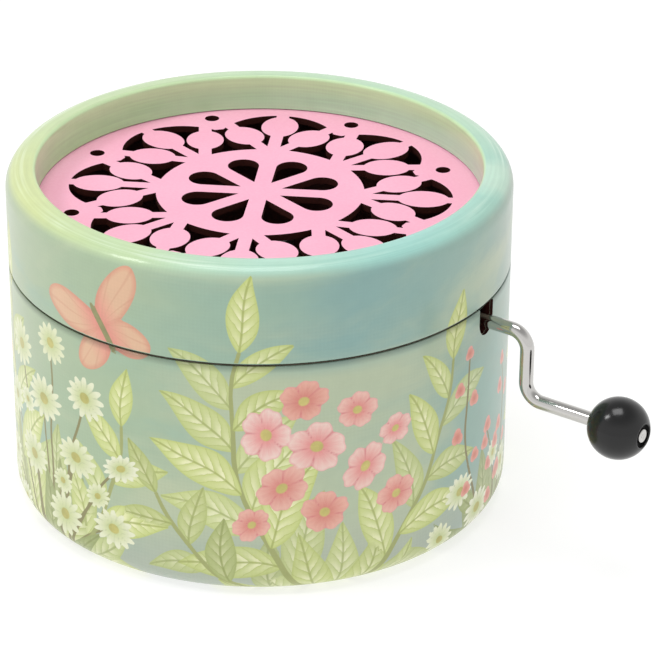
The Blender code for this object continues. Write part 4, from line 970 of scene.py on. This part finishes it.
# %% Rosette outlines
GRILLE_RADIUS = box_of("grille")[1][1]
GRILLE_BOTTOM, GRILLE_TOP = (corner[2] for corner in box_of("grille"))
ROSETTE_CENTRE = (-1.0, 1.4)
ROSETTE_TURN = -15.6
SPRIGS = 8
MEDALLION_RADIUS = 14.9
LOBE_CENTRE = 18.95
LOBE_RADIUS = 8.65
NOTCH_TOP_RADIUS = 23.1
STEM_HALF_WIDTH = 0.95
STEM_REACH = 9.5
LEAF_HALF_WIDTH = 2.75
MIDDLE_LEAF = ((0.0, 23.4), 0.0, 3.7)
SIDE_LEAVES = (((4.8, 19.5), 37.0, 3.4), ((-4.8, 19.5), -37.0, 3.4))
DROP_CENTRE = 9.25
DROP_RADIUS = 2.27
DROP_TIP = 3.2
SMALL_HOLE_CENTRE = 27.5
SMALL_HOLE_RADIUS = 1.08


def turned(outline, degrees):
    """An outline turned round the rosette's centre, and moved there from the drum's axis."""
    c, s = math.cos(math.radians(degrees)), math.sin(math.radians(degrees))
    return outline @ np.array([[c, s], [-s, c]]) + ROSETTE_CENTRE


def circle(centre, radius, count):
    """A round outline."""
    a = np.arange(count) * math.tau / count
    return np.stack([centre[0] + radius * np.cos(a), centre[1] + radius * np.sin(a)], axis=1)


def leaf_outline(centre, lean, half_length, count=28):
    """A straight strip that swells to an oval: at each distance along it, the wider of the two."""
    share = np.pi * np.arange(count + 1) / count
    d = np.concatenate([[-STEM_REACH], -half_length * np.cos(share), [STEM_REACH]])
    oval = LEAF_HALF_WIDTH * np.sqrt(np.clip(1 - (d / half_length) ** 2, 0, None))
    width = np.maximum(STEM_HALF_WIDTH, oval)
    along = np.array([math.sin(math.radians(lean)), math.cos(math.radians(lean))])
    middle = np.array(centre) + d[:, None] * along
    aside = width[:, None] * np.array([-along[1], along[0]])
    return np.concatenate([middle + aside, (middle - aside)[::-1]])


def drop_outline(count=30):
    """A circle drawn in to a point by its two tangents."""
    lean = math.degrees(math.acos(DROP_RADIUS / (DROP_CENTRE - DROP_TIP)))
    a = np.radians(np.linspace(lean - 90, 270 - lean, count))
    end = np.stack([DROP_RADIUS * np.cos(a), DROP_CENTRE + DROP_RADIUS * np.sin(a)], axis=1)
    return np.concatenate([[(0.0, DROP_TIP)], end])


def lobed_edge(count=54):
    """The openings' outer edge: eight arcs of a circle set off the centre, flattened where two meet."""
    a = np.arange(SPRIGS * count) * math.tau / (SPRIGS * count)
    slice_angle = math.tau / SPRIGS
    off = (a + slice_angle / 2) % slice_angle - slice_angle / 2
    reach = LOBE_CENTRE * np.cos(off) + np.sqrt(LOBE_RADIUS ** 2 - (LOBE_CENTRE * np.sin(off)) ** 2)
    reach = np.maximum(reach, NOTCH_TOP_RADIUS)
    return np.stack([reach * np.sin(a), reach * np.cos(a)], axis=1)


print("points of a leaf:", len(leaf_outline(*MIDDLE_LEAF)), "of the lobed edge:", len(lobed_edge()))

# %% [markdown]
# ### Cutting it
# Plates are drawn as filled curves with thickness, made meshes, and kept in a workshop collection until
# a Boolean uses them up. The cutters stand out above and below the card, so no two faces fall together.

# %% Cut the grille
workshop = bpy.data.collections.new("workshop")
bpy.context.scene.collection.children.link(workshop)
STAND_OUT = 1.0


def baked(solid):
    """The mesh that an object's curve or modifiers come to."""
    bpy.context.view_layer.update()
    return bpy.data.meshes.new_from_object(solid.evaluated_get(bpy.context.evaluated_depsgraph_get()))


def in_workshop(name, data):
    """An object that is only needed while cutting."""
    made = bpy.data.objects.new(name, data)
    workshop.objects.link(made)
    return made


def plate(name, outlines, bottom, top):
    """A flat plate with holes, from closed outlines: a filled 2D curve with thickness, made a mesh."""
    curve = bpy.data.curves.new(name, "CURVE")
    curve.dimensions, curve.fill_mode = "2D", "BOTH"
    curve.extrude = (top - bottom) / 2 * MM
    for outline in outlines:
        spline = curve.splines.new("POLY")
        spline.points.add(len(outline) - 1)
        flat = np.concatenate([outline * MM, np.tile((0.0, 1.0), (len(outline), 1))], axis=1)
        spline.points.foreach_set("co", flat.astype(np.float32).ravel())
        spline.use_cyclic_u = True
    drawn = in_workshop(name, curve)
    mesh = baked(drawn)
    bpy.data.objects.remove(drawn)
    mesh.transform(Matrix.Translation((0, 0, (bottom + top) / 2 * MM)))
    tidy_mesh(mesh)
    return in_workshop(name, mesh)


def without(solid, cutters):
    """A solid's mesh with each cutter taken out of it."""
    for n, cutter in enumerate(cutters):
        modifier = solid.modifiers.new(f"punch_{n}", "BOOLEAN")
        modifier.operation, modifier.solver, modifier.object = "DIFFERENCE", "EXACT", cutter
    made = baked(solid)
    for used_up in (solid, *cutters):
        bpy.data.objects.remove(used_up)
    return made


low, high = GRILLE_BOTTOM - STAND_OUT, GRILLE_TOP + STAND_OUT
ring_outlines = [turned(lobed_edge(), ROSETTE_TURN), turned(circle((0, 0), MEDALLION_RADIUS, 160), 0)]
ring = plate("ring", ring_outlines, low, high)
leaves, holes = [], []
for k in range(SPRIGS):
    spoke = ROSETTE_TURN + 360 / SPRIGS * k
    for n, shape in enumerate((MIDDLE_LEAF, *SIDE_LEAVES)):
        outline = turned(leaf_outline(*shape), spoke)
        leaves.append(plate(f"leaf_{k}_{n}", [outline], low - STAND_OUT, high + STAND_OUT))
    for n, outline in enumerate((drop_outline(), circle((0, SMALL_HOLE_CENTRE), SMALL_HOLE_RADIUS, 28))):
        holes.append(plate(f"hole_{k}_{n}", [turned(outline, spoke + 180 / SPRIGS)], low, high))
openings = in_workshop("openings", without(ring, leaves))
disc = plate("disc", [circle((0, 0), GRILLE_RADIUS, 240)], GRILLE_BOTTOM, GRILLE_TOP)
grille_mesh = without(disc, [openings, *holes])
grille_mesh.name = "pierced_grille"
tidy_mesh(grille_mesh)
put_in_scene("pierced_grille", grille_mesh, "grille")

# %% [markdown]
# ### Pink-faced card
# The card's face is an even pink and its cut edges are painted dark brown as shade, which draws a fine
# dark line round each opening. It is matt with a little bloom, and its fibres give a grain too fine to see
# singly, so it is drawn as a soft mottle of 0.4 mm.

# %% Pink card
FIBRE = 0.4 * MM
PATCH = 14 * MM
pink, tree, shader = new_material("pink_faced_card")
place = add(tree, "TexCoord", out="Object")
fibres = add(tree, "TexNoise", place, {"Scale": 1 / FIBRE, "Detail": 3.0})
patches = add(tree, "TexNoise", place, {"Scale": 1 / PATCH, "Detail": 2.0})
both = add(tree, "Math", fibres, patches, operation="ADD")
plug(shader, {
    "Base Color": coats(tree, "#FBB2CB", (add(tree, "MapRange", both, 0.7, 1.3), "#FFBDD4")),
    "Normal": add(tree, "Bump", {"Strength": 0.15, "Distance": 0.05 * MM, "Height": fibres}),
    "Roughness": add(tree, "MapRange", fibres, 0.0, 1.0, 0.55, 0.7), "Specular IOR Level": 0.35,
})
grille_mesh.materials.clear()
grille_mesh.materials.append(pink)
# the openings' cut faces get painted shade, nearly black brown
paint_cut_shade(grille_mesh, np.abs(of_faces(grille_mesh, "normal")[:, 2]) < 0.5)

# %% [markdown]
# ## The crank
# The handle is one length of round wire, bent twice and chrome plated. A bent wire is a circle carried
# along a path. The path lies in an upright plane, so at each of its points one side of the circle's
# frame is simply the plane's normal, and the tube can't twist. The visible end is rounded over and has
# a small dimple, as a turned end has.

# %% Bend the wire
WIRE_BEND_X = 42.5
WIRE_BEND_RADIUS = 2.6
WIRE_SIDES = 32
WIRE_STEP = 0.3
END_ROUND = 0.22
DIMPLE_RADIUS = 0.5
DIMPLE_DEPTH = 0.12
KNOB_HEIGHT = wire_low[2] + WIRE_RADIUS
END_START = wire_high[0] - END_ROUND


def wire_path():
    """Out along the shaft, down the throw through two quarter bends, and out again, as x and height."""
    bend = WIRE_BEND_RADIUS
    upper = (WIRE_BEND_X - bend, SHAFT_HEIGHT - bend)
    lower = (WIRE_BEND_X + bend, KNOB_HEIGHT + bend)
    return np.concatenate([
        straight((wire_low[0], SHAFT_HEIGHT), (upper[0], SHAFT_HEIGHT), 2.0),
        arc(upper, bend, 90, 0, WIRE_STEP),
        straight((WIRE_BEND_X, upper[1]), (WIRE_BEND_X, lower[1]), 1.0),
        arc(lower, bend, 180, 270, WIRE_STEP),
        straight((lower[0], KNOB_HEIGHT), (END_START, KNOB_HEIGHT), 2.0),
        [(END_START, KNOB_HEIGHT)],
    ])


def normals_of(path):
    """The direction square to the path, in its own plane, at each point."""
    along = np.gradient(path, axis=0)
    along /= np.linalg.norm(along, axis=1)[:, None]
    return np.stack([-along[:, 1], along[:, 0]], axis=1)


def rings(centres, normals, radii):
    """Circles round points of the plane of x and height: centre + r (cos a n + sin a y)."""
    a = np.arange(WIRE_SIDES) * math.tau / WIRE_SIDES
    x = centres[:, :1] + radii[:, None] * normals[:, :1] * np.cos(a)
    z = centres[:, 1:] + radii[:, None] * normals[:, 1:] * np.cos(a)
    return np.stack([x, SHAFT_Y + radii[:, None] * np.sin(a), z], axis=-1)


path = wire_path()
rounding = np.radians(np.arange(15, 91, 15))
end_x = np.concatenate([END_START + END_ROUND * np.sin(rounding),
                        wire_high[0] - DIMPLE_DEPTH * np.array([0.0, 0.55, 0.9, 1.0])])
end_radii = np.concatenate([WIRE_RADIUS - END_ROUND + END_ROUND * np.cos(rounding),
                            DIMPLE_RADIUS * np.array([1.0, 0.8, 0.45, 0.0])])
ends = np.stack([end_x, np.full(len(end_x), KNOB_HEIGHT)], axis=1)
upright = np.tile((0.0, 1.0), (len(ends) + 1, 1))
wire_points = rings(
    np.concatenate([path[:1], path, ends]),
    np.concatenate([upright[:1], normals_of(path), upright[1:]]),
    np.concatenate([[0.0], np.full(len(path), WIRE_RADIUS), end_radii]),
)
wire_faces = grid_faces(len(wire_points), WIRE_SIDES, close_columns=True).reshape(-1, 4)
wire_mesh = make_mesh("bent_wire", wire_points.reshape(-1, 3), wire_faces)
put_in_scene("bent_wire", wire_mesh, "crank_wire")

# %% [markdown]
# ### Chrome plate
# Plating over drawn steel wire mirrors all that is round it, so its look comes from what it reflects.
# It is a metal with a pale grey colour and very little roughness, uneven by handling in patches of
# about 3 mm, and a faint bump is left of the drawing.

# %% Chrome plate
HANDLING = 3 * MM
DRAWING = 1.2 * MM
chrome, tree, shader = new_material("chrome_plate")
place = add(tree, "TexCoord", out="Object")
handled = add(tree, "TexNoise", place, {"Scale": 1 / HANDLING, "Detail": 4.0})
drawn = add(tree, "TexNoise", place, {"Scale": 1 / DRAWING, "Detail": 2.0})
plug(shader, {
    "Base Color": "#C6C4C1", "Metallic": 1.0,
    "Roughness": add(tree, "MapRange", handled, 0.0, 1.0, 0.05, 0.13),
    "Normal": add(tree, "Bump", {"Strength": 0.05, "Distance": 0.1 * MM, "Height": drawn}),
})
wire_mesh.materials.append(chrome)
print("nodes of the chrome:", len(tree.nodes))

# %% [markdown]
# ## The knob
# A moulded ball of black plastic turns freely on the wire's end. Moulding leaves it glossy, with a
# softly broken edge round the flat recess where the wire's end shows. It is a closed profile turned
# round the wire: the ball, the recess, and the bore back through it.

# %% Turn the knob
knob_low, knob_high = box_of("knob")
KNOB_RADIUS = (knob_high[1] - knob_low[1]) / 2
RECESS_RADIUS = 1.65
RECESS_DEPTH = 0.6
BORE_RADIUS = WIRE_RADIUS + 0.12
KNOB_FOOT_RADIUS = 1.5
BROKEN_EDGE = 0.18
KNOB_SIDES = 96
KNOB_CENTRE_X = knob_high[0] - math.sqrt(KNOB_RADIUS ** 2 - RECESS_RADIUS ** 2)


def knob_profile():
    """Radius and distance along the wire: the foot, round the ball, over the broken edge into the
    recess, and back down the bore."""
    foot = math.degrees(math.asin(KNOB_FOOT_RADIUS / KNOB_RADIUS))
    top = math.degrees(math.asin((RECESS_RADIUS + BROKEN_EDGE) / KNOB_RADIUS))
    a = np.radians(np.linspace(180 - foot, top, 60))
    ball = np.stack([KNOB_RADIUS * np.sin(a), KNOB_RADIUS * np.cos(a)], axis=1)
    lip = ball[-1][1]
    b = np.radians(np.linspace(20, 90, 5))
    edge_radii = RECESS_RADIUS + BROKEN_EDGE * (1 - np.sin(b))
    edge = np.stack([edge_radii, lip - BROKEN_EDGE * (1 - np.cos(b))], axis=1)
    floor = lip - RECESS_DEPTH
    inside = [(RECESS_RADIUS, floor), (BORE_RADIUS, floor), (BORE_RADIUS, ball[0][1])]
    return np.concatenate([ball, edge, inside])


knob_line = knob_profile()
knob_radii, knob_along = knob_line[:, :1], knob_line[:, 1:]
a = np.arange(KNOB_SIDES) * math.tau / KNOB_SIDES
knob_points = np.stack(np.broadcast_arrays(
    KNOB_CENTRE_X + knob_along, SHAFT_Y + knob_radii * np.cos(a), KNOB_HEIGHT + knob_radii * np.sin(a),
), axis=-1)
knob_faces = grid_faces(len(knob_line), KNOB_SIDES, close_rows=True, close_columns=True).reshape(-1, 4)
knob_mesh = make_mesh("ball_knob", knob_points.reshape(-1, 3), knob_faces)
put_in_scene("ball_knob", knob_mesh, "knob")

# %% [markdown]
# ### Glossy black ABS
# Moulded ABS copies the polish of its mould, so the ball is almost black with crisp reflections. Fine
# wear of 1.5 mm patches varies its gloss and lifts its colour a little.

# %% Black plastic
WEAR = 1.5 * MM
black, tree, shader = new_material("glossy_black_abs")
wear = add(tree, "TexNoise", add(tree, "TexCoord", out="Object"), {"Scale": 1 / WEAR, "Detail": 5.0})
plug(shader, {
    "Base Color": coats(tree, "#101011", (wear, "#191919")), "IOR": 1.46,
    "Roughness": add(tree, "MapRange", wear, 0.0, 1.0, 0.14, 0.24),
    "Normal": add(tree, "Bump", {"Strength": 0.04, "Distance": 0.1 * MM, "Height": wear}),
})
knob_mesh.materials.append(black)
print("nodes of the black plastic:", len(tree.nodes))

# %% [markdown]
# ## What the lid hides
# Inside are board tubes, a fibre board and the movement itself. They show through the openings and when
# the lid is lifted. The imported shapes are right, so each is copied, its loose triangles are merged, and
# the copy is shaded smooth between its real edges. Then it only needs a finish: a fine grain between
# two colours, stretched along where the piece was drawn, turned or pressed. The neck and spacer tubes
# are nearly black brown, which is painted shade of the dark inside seen through the grille.

# %% Finishes of the inner pieces


def speckled(name, dark, light, grain_mm, roughness, metallic=0.0, bump_mm=0.02, stretch=(1, 1, 1)):
    """A finish with a fine grain between two colours, and a bump of the same grain."""
    made, tree, shader = new_material(name)
    place = add(tree, "Mapping", add(tree, "TexCoord", out="Object"), {"Scale": stretch})
    grain = add(tree, "TexNoise", place, {"Scale": 1 / (grain_mm * MM), "Detail": 4.0})
    share = add(tree, "MapRange", grain, 0.35, 0.65)
    plug(shader, {
        "Base Color": coats(tree, dark, (share, light)), "Metallic": metallic,
        "Roughness": add(tree, "MapRange", grain, 0.0, 1.0, roughness * 0.8, roughness * 1.2),
        "Normal": add(tree, "Bump", {"Strength": 0.5, "Distance": bump_mm * MM, "Height": grain}),
    })
    return made


board = speckled("grey_board_pulp", "#8E8474", "#A79C8B", 0.5, 0.85, bump_mm=0.05)
# painted shade: near-black brown board for the neck and spacer tubes
shade_dark_board = speckled("painted_shade_board", "#3A1812", "#4C221A", 0.5, 0.8, bump_mm=0.04)
fibre = speckled("pressed_fibre_board", "#42201A", "#5A2E22", 0.6, 0.8, bump_mm=0.05, stretch=(1, 3, 3))
zinc = speckled("cast_zinc", "#8E8E90", "#A4A4A6", 0.8, 0.42, 1.0, 0.04)
steel = speckled("ground_steel", "#A9A9AB", "#C2C2C4", 0.5, 0.28, 1.0, 0.01, stretch=(1, 8, 8))
brass = speckled("turned_brass", "#C9A24E", "#DDBB6A", 0.5, 0.25, 1.0, 0.01, stretch=(8, 8, 1))
acetal = speckled("moulded_white_acetal", "#DCD8CB", "#E8E5DA", 1.5, 0.35, bump_mm=0.01)
bottom = speckled("plain_coated_paper", "#B6C4AC", "#C3CFB8", 0.8, 0.5, bump_mm=0.01)

inner_pieces = {
    "base_tube": board, "base_disc": board, "lid_tube": board, "lid_collar": board, "bottom_paper": bottom,
    "neck_tube": shade_dark_board, "spacer_tube": shade_dark_board, "soundboard": fibre, "bedplate": zinc,
    "comb": steel, "retaining_clip": steel, "cylinder_arbor": steel,
    "cylinder_barrel": brass, "worm_shaft": brass, "cylinder_gear": acetal,
    "cylinder_cap_near": acetal, "cylinder_cap_far": acetal,
}
inner_pieces |= {node: steel for node in frame["nodes"] if "screw" in node}
print("inner pieces:", len(inner_pieces))

# %% Copy and finish the inner pieces
for node, finish in inner_pieces.items():
    mesh = frame["nodes"][node].data.copy()
    mesh.name = "dressed_" + node
    mesh.materials.clear()
    mesh.materials.append(finish)
    tidy_mesh(mesh)
    # the notch's cut faces in the tube get the same painted shade
    if node == "base_tube":
        paint_cut_shade(mesh, notch_faces(mesh))
    put_in_scene("dressed_" + node, mesh, node)

# %% [markdown]
# ## Studio
# The photograph is a plain product shot: a white ground, one broad soft lamp overhead and a smaller one
# at the left, both of which show as squarish glints on the knob. The rest of the light comes evenly from
# the white surroundings. The floor glows a little, as a lit-through table does, so the shadow on it is
# faint. What is polished also shows that the studio is greyer above the backdrop.

# %% Floor and world
FLOOR_SIZE = 6.0
FLOOR_GREY = 0.42
FLOOR_GLOW = 0.68
WORLD_LIGHT = 0.6
WHITE = (1.0, 1.0, 1.0, 1.0)
half = FLOOR_SIZE / 2
corners = [(-half, -half, 0), (half, -half, 0), (half, half, 0), (-half, half, 0)]
floor_mesh = bpy.data.meshes.new("floor")
floor_mesh.from_pydata(corners, [], [(0, 1, 2, 3)])
floor = bpy.data.objects.new("floor", floor_mesh)
bpy.context.scene.collection.objects.link(floor)
white, tree, shader = new_material("white_paper_sweep")
plug(shader, {"Base Color": (FLOOR_GREY, FLOOR_GREY, FLOOR_GREY, 1.0), "Emission Color": WHITE,
              "Emission Strength": FLOOR_GLOW, "Roughness": 0.9, "Specular IOR Level": 0.0})
floor_mesh.materials.append(white)

world = bpy.data.worlds.new("studio")
bpy.context.scene.world = world
world.use_nodes = True
tree = world.node_tree
rays = add(tree, "LightPath").node.outputs
shown = add(tree, "Math", rays["Is Camera Ray"], rays["Is Transmission Ray"], operation="MAXIMUM")
strength = add(tree, "MapRange", shown, 0.0, 1.0, WORLD_LIGHT, 1.0)
upward = add(tree, "SeparateXYZ", add(tree, "TexCoord", out="Generated"), out="Z")
mirrored = add(tree, "MapRange", upward, 0.35, 0.9, 1.0, 0.5, **SOFT)
strength = add(tree, "Mix", {0: rays["Is Glossy Ray"], 2: strength, 3: mirrored})
plug(tree.nodes["Background"], {"Color": WHITE, "Strength": strength})
print("floor:", FLOOR_SIZE, "m, light of the surroundings:", WORLD_LIGHT)

# %% [markdown]
# ### Lamps
# Each lamp stands in a direction counted from the camera: to its right, towards it and up. It is turned
# to face the box, and level with the view, so that its glint isn't a diamond.

# %% Softboxes
CENTRE = Vector((0.0, 0.0, CASE_HEIGHT / 2 * MM))
RIGHT, TOWARDS, UP = level(FRONT + math.pi / 2), level(FRONT), Vector((0.0, 0.0, 1.0))


def softbox(name, right, towards, up, distance, width, depth, watts):
    """A rectangular lamp in a direction given from the camera's side, facing the box."""
    lamp = bpy.data.lights.new(name, "AREA")
    lamp.shape, lamp.size, lamp.size_y, lamp.energy = "RECTANGLE", width, depth, watts
    made = bpy.data.objects.new(name, lamp)
    bpy.context.scene.collection.objects.link(made)
    way = (RIGHT * right + TOWARDS * towards + UP * up).normalized()
    made.location = CENTRE + way * distance
    side = (RIGHT - way * RIGHT.dot(way)).normalized()
    made.rotation_mode = "QUATERNION"
    made.rotation_quaternion = Matrix((side, way.cross(side), way)).transposed().to_quaternion()
    print(name, "softbox at", [round(part, 3) for part in made.location])


softbox("overhead", right=-0.04, towards=0.02, up=1.0, distance=0.75, width=0.40, depth=0.32, watts=1.9)
softbox("left", right=-0.61, towards=0.14, up=0.77, distance=0.70, width=0.17, depth=0.12, watts=0.85)

# %% [markdown]
# ## Camera
# The photograph was taken with a long lens from about 45 cm, and the box stands left of its middle.
# The camera looks at the middle of the box's axis, then pans and tilts a little, so that this point
# falls where the photograph has it, and rolls by a fraction of a degree.

# %% Aim the camera
PHOTO_SIZE = 656
FOCAL_PIXELS = 3104
AXIS_PIXEL = (260.5, 318.0)
ELEVATION = math.radians(26.67)
DISTANCE = 0.451
ROLL = -0.0039
SENSOR = 36.0
photo_camera = bpy.data.cameras.new("photo_camera")
photo_camera.sensor_width = SENSOR
photo_camera.lens = FOCAL_PIXELS * SENSOR / PHOTO_SIZE
camera = bpy.data.objects.new("photo_camera", photo_camera)
bpy.context.scene.collection.objects.link(camera)
bpy.context.scene.camera = camera
back = TOWARDS * math.cos(ELEVATION) + UP * math.sin(ELEVATION)
pan, tilt = (math.atan((PHOTO_SIZE / 2 - pixel) / FOCAL_PIXELS) for pixel in AXIS_PIXEL)
camera.location = CENTRE + back * DISTANCE
camera.rotation_mode = "QUATERNION"
camera.rotation_quaternion = (
    (-back).to_track_quat("-Z", "Y") @ Quaternion((0, 1, 0), -pan) @ Quaternion((1, 0, 0), -tilt)
    @ Quaternion((0, 0, 1), ROLL)
)
bpy.context.scene.view_settings.view_transform = "Standard"
print("lens:", round(photo_camera.lens, 1), "mm")
